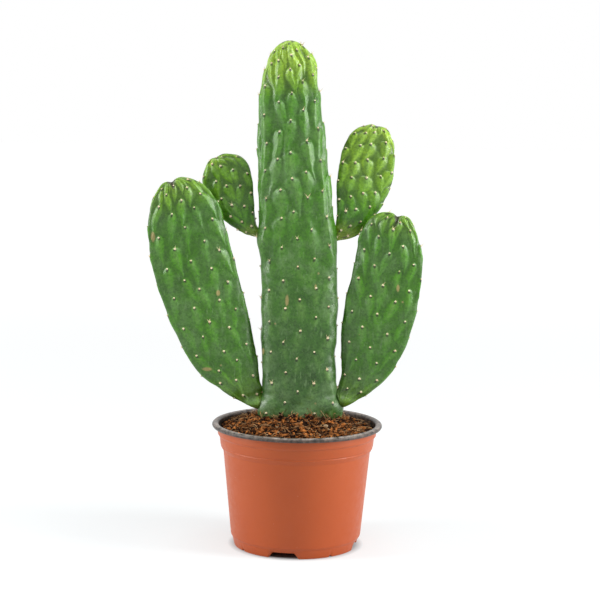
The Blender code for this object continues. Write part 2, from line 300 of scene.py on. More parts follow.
# %% Specks: small sparse dots, from the cells of a Voronoi pattern
def make_specks():
    tree, given, made = node_group(
        "specks", "ShaderNodeTree",
        [("Position", "vector"), ("Scale", "value", 300.0), ("Size", "value", 0.25),
         ("Share", "value", 0.3)], [("Mask", "value")])
    cells = add_node(tree, "ShaderNodeTexVoronoi", {"Vector": given["Position"],
                                                    "Scale": given["Scale"]}).outputs
    shade = add_node(tree, "ShaderNodeSeparateColor", {0: cells["Color"]}).outputs[0]
    near = math_of(tree, "LESS_THAN", cells["Distance"], given["Size"])
    chosen = math_of(tree, "LESS_THAN", shade, given["Share"])
    join(tree, (math_of(tree, "MULTIPLY", near, chosen), made["Mask"]))
    return tree


SPECKS = make_specks()


# %% Grain: a height for the bump, from a coarse and a fine noise
FINE_SHARE = 0.4


def make_grain():
    tree, given, made = node_group(
        "grain", "ShaderNodeTree",
        [("Position", "vector"), ("Scale", "value", 200.0), ("Fine", "value", 4.0)],
        [("Height", "value")])
    coarse = noise_of(tree, given["Position"], given["Scale"], 3.0)
    finer = math_of(tree, "MULTIPLY", given["Scale"], given["Fine"])
    fine = noise_of(tree, given["Position"], finer)
    join(tree, (math_of(tree, "MULTIPLY_ADD", fine, FINE_SHARE, coarse), made["Height"]))
    return tree


GRAIN = make_grain()
print("shader groups:", MOTTLE.name, SPECKS.name, GRAIN.name)


# %% A material to start from: Principled shader, Object coordinates, grain in its bump
def start_material(name, roughness, grain_scale, grain_strength, grain_depth=0.0003, shine=0.5):
    """Gives the material, its tree, the sockets of its shader, and the place on the piece."""
    material = bpy.data.materials.new(name)
    tree = emptied(material)
    place = add_node(tree, "ShaderNodeTexCoord").outputs["Object"]
    grain = place_group(tree, GRAIN, place, Scale=grain_scale)["Height"]
    bump = add_node(tree, "ShaderNodeBump", {
        "Strength": grain_strength, "Distance": grain_depth, "Height": grain})
    shader = add_node(tree, "ShaderNodeBsdfPrincipled", {
        "Roughness": roughness, "Specular IOR Level": shine, "Normal": bump.outputs["Normal"]})
    add_node(tree, "ShaderNodeOutputMaterial", {"Surface": shader.outputs[0]})
    return material, tree, shader.inputs, place


def mottled_material(name, base, other, scale, amount, *start):
    """A finish that is two mottled colours over the starting material."""
    material, tree, surface, place = start_material(name, *start)
    mottle = place_group(tree, MOTTLE, place, Scale=scale, Amount=amount, Base=(*base, 1),
                         Other=(*other, 1))
    join(tree, (mottle["Colour"], surface["Base Color"]))
    return material


# %% [markdown]
# ## The flat stem and its pads
# A paddle is a green stem segment: flat, with a rounded edge, covered by low bumps in crossing
# spirals. Each bump is highest just below its areole and runs out downwards. The outline is
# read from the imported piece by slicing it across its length, so the pad keeps its true size;
# the slices are then lofted finely enough for every bump to be real geometry.

# %% Measure a packed paddle by slicing it
SLICES = 190
SLICE_SMOOTHING = 1.5


def smooth_rows(rows, width):
    """Gaussian smoothing along the first axis, with the ends held."""
    reach = int(3 * width)
    weights = np.exp(-0.5 * (np.arange(-reach, reach + 1) / width) ** 2)
    weights /= weights.sum()
    first, last = rows[:1], rows[-1:]
    before = 2 * first - rows[1:reach + 1][::-1]
    after = 2 * last - rows[-reach - 1:-1][::-1]
    padded = np.concatenate([before, rows, after])
    smooth = [sum(w * padded[i + k] for k, w in enumerate(weights)) for i in range(len(rows))]
    return np.array(smooth)


def slice_paddle(node):
    """Centre, half width, half depth and turn of a paddle at even steps along its length."""
    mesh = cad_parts[node].data
    points = np.array([vert.co for vert in mesh.vertices])
    edges = np.array([edge.vertices for edge in mesh.edges])
    flat = points[:, [0, 2]] - points[:, [0, 2]].mean(0)
    along = np.linalg.svd(flat, full_matrices=False)[2][0]
    along = along * np.sign(along[1])
    axis = np.array([along[0], 0, along[1]])
    across = np.array([along[1], 0, -along[0]])
    heights = points @ axis
    low, high = heights.min(), heights.max()
    steps = low + (high - low) * (np.arange(SLICES) + 0.5) / SLICES
    rows = []
    for step in steps:
        start, end = heights[edges[:, 0]], heights[edges[:, 1]]
        cut = (start - step) * (end - step) < 0
        share = ((step - start[cut]) / (end[cut] - start[cut]))[:, None]
        ring = points[edges[cut, 0]] * (1 - share) + points[edges[cut, 1]] * share
        side = ring @ across
        left, right = ring[side.argmin()], ring[side.argmax()]
        wide = right - left
        centre = (left + right) / 2
        half = np.linalg.norm(wide) / 2
        turn = math.atan2(wide[1], wide @ across)
        outward = np.array([0, 1, 0]) * math.cos(turn) - across * math.sin(turn)
        depth = np.ptp(ring @ outward) / 2
        rows.append([centre @ across, centre[1], half ** 2, depth ** 2, turn])
    rows = smooth_rows(np.array(rows), SLICE_SMOOTHING)
    return {"axis": axis, "across": across, "low": low, "high": high, "steps": steps, "rows": rows}


# %% Stations along a paddle: even ones, and closer ones where its ends round off
END_LENGTH = 0.010
END_STATIONS = 12


def stations_of(shape, spacing):
    low, high = shape["low"], shape["high"]
    close = END_LENGTH * (1 - np.cos(np.linspace(0, math.pi / 2, END_STATIONS + 1)))[1:]
    count = int((high - low - 2 * END_LENGTH) / spacing)
    even = np.linspace(low + END_LENGTH, high - END_LENGTH, count + 1)[1:-1]
    return np.concatenate([low + close, even, high - close[::-1]])


def row_at(shape, stations):
    """The measured rows at any stations; squared sizes fall evenly to nothing at both ends."""
    known = np.concatenate([[shape["low"]], shape["steps"], [shape["high"]]])
    rows = shape["rows"]
    first, last = rows[0].copy(), rows[-1].copy()
    first[2:4] = 0
    last[2:4] = 0
    rows = np.vstack([first, rows, last])
    values = np.stack([np.interp(stations, known, rows[:, c]) for c in range(5)], axis=1)
    values[:, 2:4] = np.sqrt(np.maximum(values[:, 2:4], 1e-10))
    return values


# %% Sections: a superellipse with its points spaced evenly along its rim
EDGE_POWER = 2.35
FINE_STEPS = 360


def section_points(half_width, half_depth, sides):
    angle = np.linspace(-math.pi / 2, 1.5 * math.pi, FINE_STEPS + 1)
    c, s = np.cos(angle), np.sin(angle)
    x = half_width * np.sign(c) * np.abs(c) ** (2 / EDGE_POWER)
    y = half_depth * np.sign(s) * np.abs(s) ** (2 / EDGE_POWER)
    run = np.concatenate([[0], np.cumsum(np.hypot(np.diff(x), np.diff(y)))])
    even = np.linspace(0, run[-1], sides + 1)[:-1]
    return np.interp(even, run, x), np.interp(even, run, y), run[-1]


# %% [markdown]
# ### The pattern of bumps
# The areoles stand in upright files, each file a little higher than the one beside it, so that
# they also line up in spirals. Going once round the paddle climbs by a whole number of steps,
# so the pattern has no seam. Each areole has a small offset of its own, worked out from its
# file and step, so that it is found again from every point of the surface near it.

# %% Areole lattice
FILE_OFFSETS = (-2, -1, 0, 1, 2)
STEP_OFFSETS = (-1, 0, 1, 2)


def scatter(file, step, salt):
    """A repeatable number from 0 to 1 for each file and step."""
    value = np.sin(file * 127.1 + step * 311.7 + salt * 74.7) * 43758.5453
    return value - np.floor(value)


class Lattice:
    """Files round the paddle and steps along it, with a small offset for every areole."""

    def __init__(self, files, pitch, wraps, salt):
        self.files = files
        self.pitch = pitch
        self.wraps = wraps
        self.climb = wraps * pitch / files
        self.salt = salt

    def place(self, file, step, jitter=0.17):
        """Place round (in files), place along (in metres), luck and lean of an areole."""
        turns = np.floor(file / self.files)
        own_file, own_step = file - turns * self.files, step + self.wraps * turns
        shift = (scatter(own_file, own_step, self.salt) - 0.5) * 2 * jitter
        lift = (scatter(own_file, own_step, self.salt + 5) - 0.5) * jitter
        luck = scatter(own_file, own_step, self.salt + 9)
        lean = (scatter(own_file, own_step, self.salt + 14) - 0.5) * 0.7
        return file + shift, self.pitch * (step + lift) + self.climb * file, luck, lean

    def near(self, around, along):
        """Yields the areoles round each point."""
        for file_offset in FILE_OFFSETS:
            file = np.round(around) + file_offset
            base_step = np.floor((along - self.climb * file) / self.pitch)
            for step_offset in STEP_OFFSETS:
                yield self.place(file, base_step + step_offset)


# %% The height of the bumps, and how near each point is to an areole
# Every areole stands at the head of a ridge shaped like a long drop: a point at the areole, widest
# a third of the way down, and a tail that sinks into the skin. Where two ridges meet, the higher
# one wins, which leaves a groove between them.
RIDGE_CREST = 1.2                    # 1 would be a sharp crest, 2 a round one
RIDGE_OPENING = 0.45                 # how fast the drop widens, and how fast it narrows again
RIDGE_CLOSING = 0.80
WIDEST = RIDGE_OPENING / (RIDGE_OPENING + RIDGE_CLOSING)
RIDGE_SCALE = WIDEST ** RIDGE_OPENING * (1 - WIDEST) ** RIDGE_CLOSING
RIDGE_FALL = 1.6
RIDGE_HEAD = 1.6
GROOVE_SHARPNESS = 10.0
RIDGE_LEVEL = 0.8                    # height of a crest, and what luck adds to it
RIDGE_LUCK = 0.4
RIDGE_SUNK = -1.5                    # lower than this a ridge no longer counts
BEND_START = 0.010                   # ridges wander sideways from this far below their areole
# The dark pit of an areole is painted shade, centred a little below its wool.
PIT_SHADE_BELOW = 0.0009                   # the dark pit of an areole lies a little below its wool


def bump_field(lattice, around, along, file_width, stretch, bend, half_width, above, below):
    total = np.ones_like(around)
    nearest = np.full_like(around, 1.0)
    for point_around, point_along, luck, lean in lattice.near(around, along):
        y = (along - point_along) * stretch
        x = (around - point_around) * file_width + lean * y
        away = np.hypot(x, y)
        x = x + bend * np.minimum(away / BEND_START, 1)
        down = np.maximum(-y, 0) / (below * lattice.pitch)
        share = (above * lattice.pitch - y) / ((above + below) * lattice.pitch)
        share = np.clip(share, 0.004, 0.99)
        width = share ** RIDGE_OPENING * (1 - share) ** RIDGE_CLOSING / RIDGE_SCALE
        width = half_width * file_width * width
        side = np.abs(x / width) ** RIDGE_CREST
        fall = down ** RIDGE_FALL
        head = (np.maximum(y, 0) / (above * lattice.pitch)) ** RIDGE_HEAD
        ridge = RIDGE_LEVEL + RIDGE_LUCK * luck - side - fall - head
        total += np.exp(GROOVE_SHARPNESS * np.maximum(ridge, RIDGE_SUNK))
        nearest = np.minimum(nearest, np.hypot(x, y + PIT_SHADE_BELOW))
    return np.log(total) / GROOVE_SHARPNESS, nearest


# %% Soft noise on many points at once
def soft_noise(points, size, salt):
    """Smooth noise from -1 to 1, from repeatable values at the corners of cells of a size."""
    cell = np.floor(points / size)
    part = points / size - cell
    part = part * part * (3 - 2 * part)
    total = np.zeros(points.shape[:-1])
    for corner in range(8):
        step = np.array([corner & 1, corner >> 1 & 1, corner >> 2])
        at = cell + step
        weight = np.prod(np.where(step, part, 1 - part), axis=-1)
        total += weight * scatter(at[..., 0] + 57 * at[..., 1], at[..., 2], salt)
    return total * 2 - 1


# %% Settings of the paddles
# For each paddle: files, pitch (mm) and wraps of its lattice, shape of its ridges (width in
# file widths, lengths above and below in pitches), height (mm) of its bumps at neck and tip,
# skin age at neck, middle and tip (0 young, 1 old), mesh spacing (mm), depth (mm) of the notch at
# its tip, and a salt of its own for whatever is scattered.
PADDLES = {
    "main_stem": dict(files=12, pitch=28.5, wraps=4, ridge=(0.62, 0.07, 1.40), bumps=(0.6, 3.2),
                      age=(1.0, 0.54, 0.0), mesh=1.2, notch=0.8, salt=3),
    "lower_left_pad": dict(files=12, pitch=30.5, wraps=6, ridge=(0.42, 0.07, 1.00),
                           bumps=(0.8, 1.7), age=(0.55, 0.45, 0.24), mesh=0.9, notch=4.6, salt=11),
    "lower_right_pad": dict(files=12, pitch=30.0, wraps=6, ridge=(0.42, 0.07, 1.00),
                            bumps=(0.8, 1.7), age=(0.62, 0.48, 0.27), mesh=0.9, notch=5.0,
                            salt=23),
    "upper_left_pad": dict(files=10, pitch=18.5, wraps=6, ridge=(0.54, 0.08, 1.20),
                           bumps=(0.9, 1.9), age=(0.42, 0.33, 0.22), mesh=0.7, notch=1.6, salt=31),
    "upper_right_pad": dict(files=9, pitch=16.0, wraps=3, ridge=(0.60, 0.08, 1.35),
                            bumps=(1.2, 2.6), age=(0.44, 0.20, 0.0), mesh=0.7, notch=2.2, salt=47),
}
OLD_STRETCH = 1.15                   # steps are longer on old skin, up to this share of a paddle
OLD_REACH = 0.7
TIP_CROWDING = 0.32                  # steps close up towards a tip, to this share of their length
CROWDED_LENGTH = 0.15                # over this share of the paddle's length


def ease(t):
    t = np.clip(t, 0, 1)
    return t * t * (3 - 2 * t)


def stretch_at(share):
    """How long a step is against the plain pitch: longer on old skin, crowded at the tip."""
    old = 1 + (OLD_STRETCH - 1) * (1 - ease(share / OLD_REACH))
    tip = 1 - (1 - TIP_CROWDING) * ease((share - 1 + CROWDED_LENGTH) / CROWDED_LENGTH)
    return old * tip


def grid_normals(grid):
    """Outward normals of a grid of points that closes round its second axis."""
    round_it = np.roll(grid, -1, 1) - np.roll(grid, 1, 1)
    along_it = np.gradient(grid, axis=0)
    normals = np.cross(round_it, along_it)
    lengths = np.linalg.norm(normals, axis=2, keepdims=True)
    return normals / np.maximum(lengths, 1e-12)


# %% The plain paddle, before its bumps
OUTWARD = np.array([0, 1, 0])
ROUNDNESS = 0.8                      # a flat section's rim against the circle round it


def plain_paddle(shape, stations, spacing):
    """The smooth grid of a paddle, the length round each of its rings, and its measured rows."""
    rows = row_at(shape, stations)
    widest = rows[:, 2].max() + rows[:, 3].max()
    sides = int(2 * math.pi * widest * ROUNDNESS / spacing)
    axis, across = shape["axis"], shape["across"]
    grid = np.zeros((len(stations), sides, 3))
    girth = np.zeros(len(stations))
    for k, (station, row) in enumerate(zip(stations, rows)):
        x, y, girth[k] = section_points(row[2], row[3], sides)
        wide = across * math.cos(row[4]) + OUTWARD * math.sin(row[4])
        thick = OUTWARD * math.cos(row[4]) - across * math.sin(row[4])
        centre = axis * station + across * row[0] + OUTWARD * row[1]
        grid[k] = centre + x[:, None] * wide + y[:, None] * thick
    return grid, girth, rows


# %% Raise the ridges out of the plain paddle
CREST_LEVEL = 0.60                   # this much of a ridge's height lies below the plain skin
EDGE_CALM = 0.55                     # ridges are lower by this share at a paddle's edges
BEND_WIDTH = 0.0017
BEND_SIZE = 0.013
RIDGE_WEAR = 0.10                    # ridges are not all alike along their length
WEAR_SIZE = 0.0075
WAVE_SIZE = 0.016
WAVE_HEIGHT = 0.0012
RIPPLE_SIZE = 0.0055
RIPPLE_HEIGHT = 0.00030
NECK_FADE = 0.06                     # shares of the length over which the ridges fade at the ends
TIP_FADE = 0.015
GROWTH_START = 0.32                  # ridges grow from here on, at this rate
GROWTH_RATE = 2.4


def raise_ridges(node, grid, girth, stations, share):
    """The grid with its ridges, their height, the nearest areoles and where the ends fade."""
    settings = PADDLES[node]
    salt = settings["salt"]
    count, sides = grid.shape[:2]
    lattice = Lattice(settings["files"], settings["pitch"] * MM, settings["wraps"], salt)
    stretch = stretch_at(share)
    climb = np.concatenate([[0], np.cumsum(np.diff(stations) / stretch[1:])])
    around = np.tile(np.arange(sides) / sides * settings["files"], (count, 1))
    along = np.tile(climb[:, None], (1, sides))
    file_width = np.tile((girth / settings["files"])[:, None], (1, sides))
    bend = BEND_WIDTH * soft_noise(grid, BEND_SIZE, salt + 2)
    bumps, nearest = bump_field(lattice, around, along, file_width, stretch[:, None], bend,
                                *settings["ridge"])
    bumps = bumps + RIDGE_WEAR * soft_noise(grid, WEAR_SIZE, salt + 3)
    low_bump, high_bump = settings["bumps"]
    ends = ease(share / NECK_FADE) * (1 - ease((share - 1 + TIP_FADE) / TIP_FADE))
    growth = ease((share - GROWTH_START) * GROWTH_RATE)
    height = (low_bump + (high_bump - low_bump) * growth) * MM * ends
    waves = WAVE_HEIGHT * soft_noise(grid, WAVE_SIZE, salt)
    waves += RIPPLE_HEIGHT * soft_noise(grid, RIPPLE_SIZE, salt + 1)
    normals = grid_normals(grid)
    calm = 1 - EDGE_CALM * (1 - np.abs(normals @ OUTWARD))
    push = height[:, None] * calm * (bumps - CREST_LEVEL) + waves * ends[:, None]
    if node == "main_stem":
        push = push + base_lobes(grid)
    place = {"lattice": lattice, "climb": climb, "girth": girth, "share": share}
    return grid + normals * push[:, :, None], bumps, nearest, ends, place


# %% Age, crest and neck, which the finish reads
YOUNG_NECK = 0.5                     # pads younger than this keep a yellow neck
OLD_NECK_AMOUNT = 0.3                # and older ones only this much of it
NECK_SHARE = 0.23
NECK_AGE_END = 0.75                  # the age of the neck gives way to that of the middle up to here
NECK_AGE_LENGTH = 0.6
TIP_AGE_LENGTH = 0.20


def skin_values(node, share, bumps, ends):
    neck_age, middle_age, tip_age = PADDLES[node]["age"]
    age = middle_age + (neck_age - middle_age) * ease((NECK_AGE_END - share) / NECK_AGE_LENGTH)
    age = age + (tip_age - middle_age) * ease((share - 1 + TIP_AGE_LENGTH) / TIP_AGE_LENGTH)
    neck_amount = 0 if node == "main_stem" else 1 if neck_age < YOUNG_NECK else OLD_NECK_AMOUNT
    neck = neck_amount * (1 - ease(share / NECK_SHARE))
    plain = np.maximum(1 - ends, neck)[:, None]
    crest = bumps * (1 - plain) + CREST_LEVEL * plain
    return {"age": np.tile(age[:, None], (1, bumps.shape[1])), "crest": crest,
            "neck": np.tile(neck[:, None], (1, bumps.shape[1]))}


# %% Old wounds
# Old wounds: across, height, half width and half height of each, in metres
SCARS = {
    "main_stem": [(0.0021, 0.248, 0.0014, 0.0048), (-0.021, 0.196, 0.0010, 0.0030),
                  (0.030, 0.262, 0.0008, 0.0022)],
    "lower_left_pad": [(-0.130, 0.309, 0.0018, 0.0042), (-0.076, 0.178, 0.0042, 0.0016),
                       (-0.066, 0.254, 0.0016, 0.0024)],
    "lower_right_pad": [(0.111, 0.262, 0.0012, 0.0030)],
}


def scar_field(node, grid):
    """1 in the middle of an old wound on the front of a paddle, and 0 away from them."""
    total = np.zeros(grid.shape[:2])
    front = grid[:, :, 1] < grid[:, :, 1].mean(1)[:, None]
    for x, z, half_width, half_height in SCARS.get(node, []):
        off = ((grid[:, :, 0] - x) / half_width) ** 2 + ((grid[:, :, 2] - z) / half_height) ** 2
        total = np.maximum(total, np.exp(-off) * front)
    return total


# %% The foot of the stem, the tip of a pad and its neck
LOBE_HEIGHT = 0.137                  # the stem swells just above the mix, and narrows above that
PINCH_HEIGHT = 0.152
LOBE_SIZE = 0.0005
PINCH_SIZE = 0.0022
LOBE_SPREAD = 0.008
PINCH_SPREAD = 0.0045
NOTCH_WIDTH = 0.0032
NECK_REACH = 0.0022                  # a side pad's neck grows this far into the stem
NECK_SLIDE_SHARE = 0.10


def base_lobes(grid):
    """Two swellings at the sides of the stem's foot, with a pinch above them."""
    z = grid[:, :, 2]
    swell = np.exp(-((z - LOBE_HEIGHT) / LOBE_SPREAD) ** 2)
    pinch = np.exp(-((z - PINCH_HEIGHT) / PINCH_SPREAD) ** 2)
    middle = (grid[:, :, 0].max(1) + grid[:, :, 0].min(1))[:, None] / 2
    half = np.ptp(grid[:, :, 0], axis=1)[:, None] / 2
    side = ease((np.abs(grid[:, :, 0] - middle) / half - 0.45) / 0.4)
    return (LOBE_SIZE * swell - PINCH_SIZE * pinch) * side


def notch_tip(grid, shape, rows, depth):
    """Draws the middle of the tip down into a small notch, and tells where its crease is."""
    axis, across = shape["axis"], shape["across"]
    sideways = grid @ across - rows[-1, 0]
    below = shape["high"] - grid @ axis
    pull = depth * np.exp(-np.abs(sideways / NOTCH_WIDTH) ** 1.1) * np.exp(-below / (2.2 * depth))
    return grid - pull[:, :, None] * axis, pull / MM / 3


def root_neck(grid, share):
    """Slides the first part of a side pad towards the stem, so that the two grow together."""
    towards = np.sign(POT_AXIS.x - grid[:, :, 0].mean())
    slide = NECK_REACH * (1 - ease(share / NECK_SLIDE_SHARE))
    moved = grid.copy()
    moved[:, :, 0] += towards * slide[:, None]
    return moved


# %% Put a paddle together
def paddle_surface(node):
    """The finished grid of a paddle with its normals, its values, and where its areoles go."""
    settings = PADDLES[node]
    shape = slice_paddle(node)
    stations = stations_of(shape, settings["mesh"] * MM)
    share = (stations - shape["low"]) / (shape["high"] - shape["low"])
    grid, girth, rows = plain_paddle(shape, stations, settings["mesh"] * MM)
    grid, bumps, nearest, ends, place = raise_ridges(node, grid, girth, stations, share)
    grid, crease = notch_tip(grid, shape, rows, settings["notch"] * MM)
    if node != "main_stem":
        grid = root_neck(grid, share)
    values = skin_values(node, share, bumps, ends)
    values.update(areole=nearest, crease=crease, scar=scar_field(node, grid))
    return grid, grid_normals(grid), values, {"axis": shape["axis"], **place}


# %% Mesh from a grid: quads round and along, with each end closed at a point
def mesh_from_grid(name, grid, values):
    count, sides = grid.shape[:2]
    points = np.vstack([grid.reshape(-1, 3), grid[0].mean(0), grid[-1].mean(0)])
    k = np.arange(count - 1)[:, None] * sides
    m = np.arange(sides)[None, :]
    n = (m + 1) % sides
    quads = np.stack([k + m, k + n, k + sides + n, k + sides + m], axis=2).reshape(-1, 4)
    first, last = count * sides, count * sides + 1
    top = (count - 1) * sides
    caps = [(first, (i + 1) % sides, i) for i in range(sides)]
    caps += [(last, top + i, top + (i + 1) % sides) for i in range(sides)]
    mesh = bpy.data.meshes.new(name)
    mesh.from_pydata(points.tolist(), [], quads.tolist() + caps)
    mesh.update()
    for label, field in values.items():
        attribute = mesh.attributes.new(label, "FLOAT", "POINT")
        ends = [field[0].mean(), field[-1].mean()]
        attribute.data.foreach_set("value", np.concatenate([field.ravel(), ends]))
    mesh.shade_smooth()
    return mesh

# %% [markdown]
# ### Skin
# Cactus skin is waxy: yellow-green on young growth, mid green on grown pads and a duller,
# bluish green with a pale bloom on the old stem. The crest of each bump carries a painted
# highlight, partly its pale bloom, and the furrows between them are painted darker and warmer,
# as painted shade. The pit below each areole and the crease of a pad's notch are painted dark,
# as shade too. Old skin carries corky scars and pale specks.

# %% Skin material
SKIN_COLOURS = {                     # young, grown and old, at the crest
    "young": (0.480, 0.740, 0.052),
    "grown": (0.096, 0.332, 0.008),
    "old": (0.054, 0.152, 0.024),
}
FURROW_SHADE = (0.022, 0.075, 0.006)
NECK = (0.50, 0.62, 0.06)
# pale green of the bloom on the specks, and of the painted highlight on the crests
BLOOM_AND_HIGHLIGHT = (0.22, 0.42, 0.10)
WORN = (0.18, 0.32, 0.12)
SCRATCH_TURN = (0.0, 0.35, 0.0)
SCRATCH_STRETCH = (420.0, 420.0, 95.0)
CORK = (0.38, 0.32, 0.12)

# colour of the painted shade in the pit below each areole
AREOLE_PIT_SHADE = (0.016, 0.016, 0.006)
# colour of the painted shade in the crease of a pad's notched tip
CREASE_SHADE = (0.035, 0.022, 0.010)


def read_attribute(tree, name):
    return add_node(tree, "ShaderNodeAttribute", attribute_name=name).outputs["Fac"]


def make_skin(name):
    material, tree, surface, place = start_material(name, 0.5, 600.0, 0.5, shine=0.44)
    age, crest, areole, neck, crease, scar = (
        read_attribute(tree, label)
        for label in ("age", "crest", "areole", "neck", "crease", "scar"))

    def share(source, low, high, *new_range):
        return value_range(tree, source, low, high, *new_range)

    def times(first, second):
        return math_of(tree, "MULTIPLY", first, second)

    def dots(scale, size, amount):
        return place_group(tree, SPECKS, place, Scale=scale, Size=size, Share=amount)["Mask"]

    green = blend_colours(tree, share(age, 0.05, 0.42), SKIN_COLOURS["young"],
                          SKIN_COLOURS["grown"])
    green = blend_colours(tree, share(age, 0.45, 1.0), green, SKIN_COLOURS["old"])
    green = blend_colours(tree, times(neck, 0.9), green, NECK)
    darker = blend_colours(tree, 1.0, green, (0.66, 0.74, 0.62), "MULTIPLY")
    mottle = place_group(tree, MOTTLE, place, Scale=85.0, Amount=0.85, Base=green,
                         Other=darker)["Colour"]
    # painted shade: low skin between the ridges is blended towards a dark, warm green, and the
    # crests keep the mottled green
    low = blend_colours(tree, share(age, 0.30, 0.75, 0.85, 0.35), mottle, FURROW_SHADE)
    skin = blend_colours(tree, share(crest, -0.02, 0.42, 0.15, 1.0), low, mottle)
    patches = noise_of(tree, place, 130.0, 5.0)
    worn = noise_of(tree, place, 42.0, 6.0, 0.7)
    drawn_out = add_node(tree, "ShaderNodeMapping", {
        "Vector": place, "Rotation": SCRATCH_TURN, "Scale": SCRATCH_STRETCH}).outputs[0]
    scratches = noise_of(tree, drawn_out, 1.0, 3.0)
    layers = (                       # from the first laid on to the last
        # painted highlight, partly real bloom: the higher crests are lifted to a pale green, in
        # patches
        (times(share(crest, 0.45, 1.10, 0.0, 0.70), share(patches, 0.35, 0.65)), BLOOM_AND_HIGHLIGHT),
        (times(share(worn, 0.46, 0.64), share(age, 0.3, 0.8, 0.20, 0.72)), WORN),
        (times(share(scratches, 0.60, 0.72), share(age, 0.3, 0.7, 0.25, 0.75)), WORN),
        (times(dots(420.0, 0.17, 0.16), 0.45), BLOOM_AND_HIGHLIGHT),
        (times(dots(95.0, 0.10, 0.12), 0.8), CORK),
        # painted shade: a dark spot in the pit just below each areole's wool
        (share(areole, 0.0008, 0.0021, 0.85, 0.0), AREOLE_PIT_SHADE),
        # painted shade: the crease of the notch at a pad's tip is darkened
        (share(crease, 0.25, 0.9, 0.0, 0.9), CREASE_SHADE))
    for amount, colour in layers:
        skin = blend_colours(tree, amount, skin, colour)
    deeper = blend_colours(tree, 1.0, skin, (0.42, 0.50, 0.40), "MULTIPLY")
    fine = share(noise_of(tree, place, 430.0, 5.0, 0.7), 0.42, 0.62, 0.0, 0.75)
    skin = blend_colours(tree, fine, skin, deeper)
    scar_edge = times(scar, share(worn, 0.35, 0.5, 0.35, 1.0))
    skin = blend_colours(tree, share(scar_edge, 0.12, 0.4, 0.0, 0.9), skin, CORK)
    join(tree, (skin, surface["Base Color"]),
         (share(patches, 0.3, 0.7, 0.20, 0.42), surface["Roughness"]))
    return material


SKIN = make_skin("cactus_skin")

# %% Make the paddles
surfaces = {}
for node in PADDLES:
    grid, normals, values, place = paddle_surface(node)
    surfaces[node] = (grid, normals, place)
    piece = add_object(node + "_skin", mesh_from_grid(node + "_skin", grid, values), SKIN)
    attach(piece, "root")
    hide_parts(node)
    print(node, grid.shape[:2], "quads", len(piece.data.polygons))

# %% [markdown]
# ### Areoles and spines
# An areole is a felted cushion about 2 mm across with a brush of very short bristles; a few
# also carry a pale spine. There are hundreds, all alike, so Geometry Nodes put one small tuft on
# each point of a point cloud whose points say which way they face and how large they are.

# %% Geometry Nodes helpers
def geometry_tree(name, *inputs):
    return node_group(name, "GeometryNodeTree", [("Geometry", "geometry"), *inputs],
                      [("Geometry", "geometry")])


def plain_mesh(piece):
    """What a piece's modifiers make of it, as a mesh of its own."""
    bpy.context.view_layer.update()
    graph = bpy.context.evaluated_depsgraph_get()
    return bpy.data.meshes.new_from_object(piece.evaluated_get(graph))


def apply_tree(source, tree, name, **values):
    """Runs a tree on an object, and returns what it makes as a plain object."""
    modifier = source.modifiers.new("nodes", "NODES")
    modifier.node_group = tree
    for item in tree.interface.items_tree:
        label = item.name.replace(" ", "_")
        if item.in_out == "INPUT" and label in values:
            modifier[item.identifier] = values[label]
    mesh = plain_mesh(source)
    mesh.name = name
    made = add_object(name, mesh)
    bpy.data.objects.remove(source, do_unlink=True)
    return made


def point_object(name, points, **fields):
    """A cloud of points, each with vectors and values of its own."""
    mesh = bpy.data.meshes.new(name)
    mesh.from_pydata([tuple(point) for point in points], [], [])
    for label, rows in fields.items():
        kind, field = ("FLOAT_VECTOR", "vector") if np.ndim(rows) == 2 else ("FLOAT", "value")
        attribute = mesh.attributes.new(label, kind, "POINT")
        attribute.data.foreach_set(field, np.asarray(rows, dtype=np.float32).ravel())
    return add_object(name, mesh)


def named(tree, name, kind="FLOAT_VECTOR"):
    return add_node(tree, "GeometryNodeInputNamedAttribute", {"Name": name},
                    data_type=kind).outputs["Attribute"]


def end_tree(tree, instances, given, made):
    """Makes the instances real and paints them."""
    real = add_node(tree, "GeometryNodeRealizeInstances", {0: instances})
    paint = add_node(tree, "GeometryNodeSetMaterial", {
        "Geometry": real.outputs[0], "Material": given["Material"]})
    join(tree, (paint.outputs[0], made[0]))
    return tree


def end_on_points(tree, thing, given, made):
    """Puts a thing on every point: Z faces outwards, and Y points up along the piece."""
    outwards = add_node(tree, "FunctionNodeAlignRotationToVector", {
        "Vector": named(tree, "facing")}, axis="Z")
    upright = add_node(tree, "FunctionNodeAlignRotationToVector", {
        "Rotation": outwards.outputs[0], "Vector": named(tree, "upward")},
        axis="Y", pivot_axis="Z")
    placed = add_node(tree, "GeometryNodeInstanceOnPoints", {
        "Points": given["Geometry"], "Instance": thing, "Rotation": upright.outputs[0],
        "Scale": named(tree, "size", "FLOAT")})
    return end_tree(tree, placed.outputs[0], given, made)


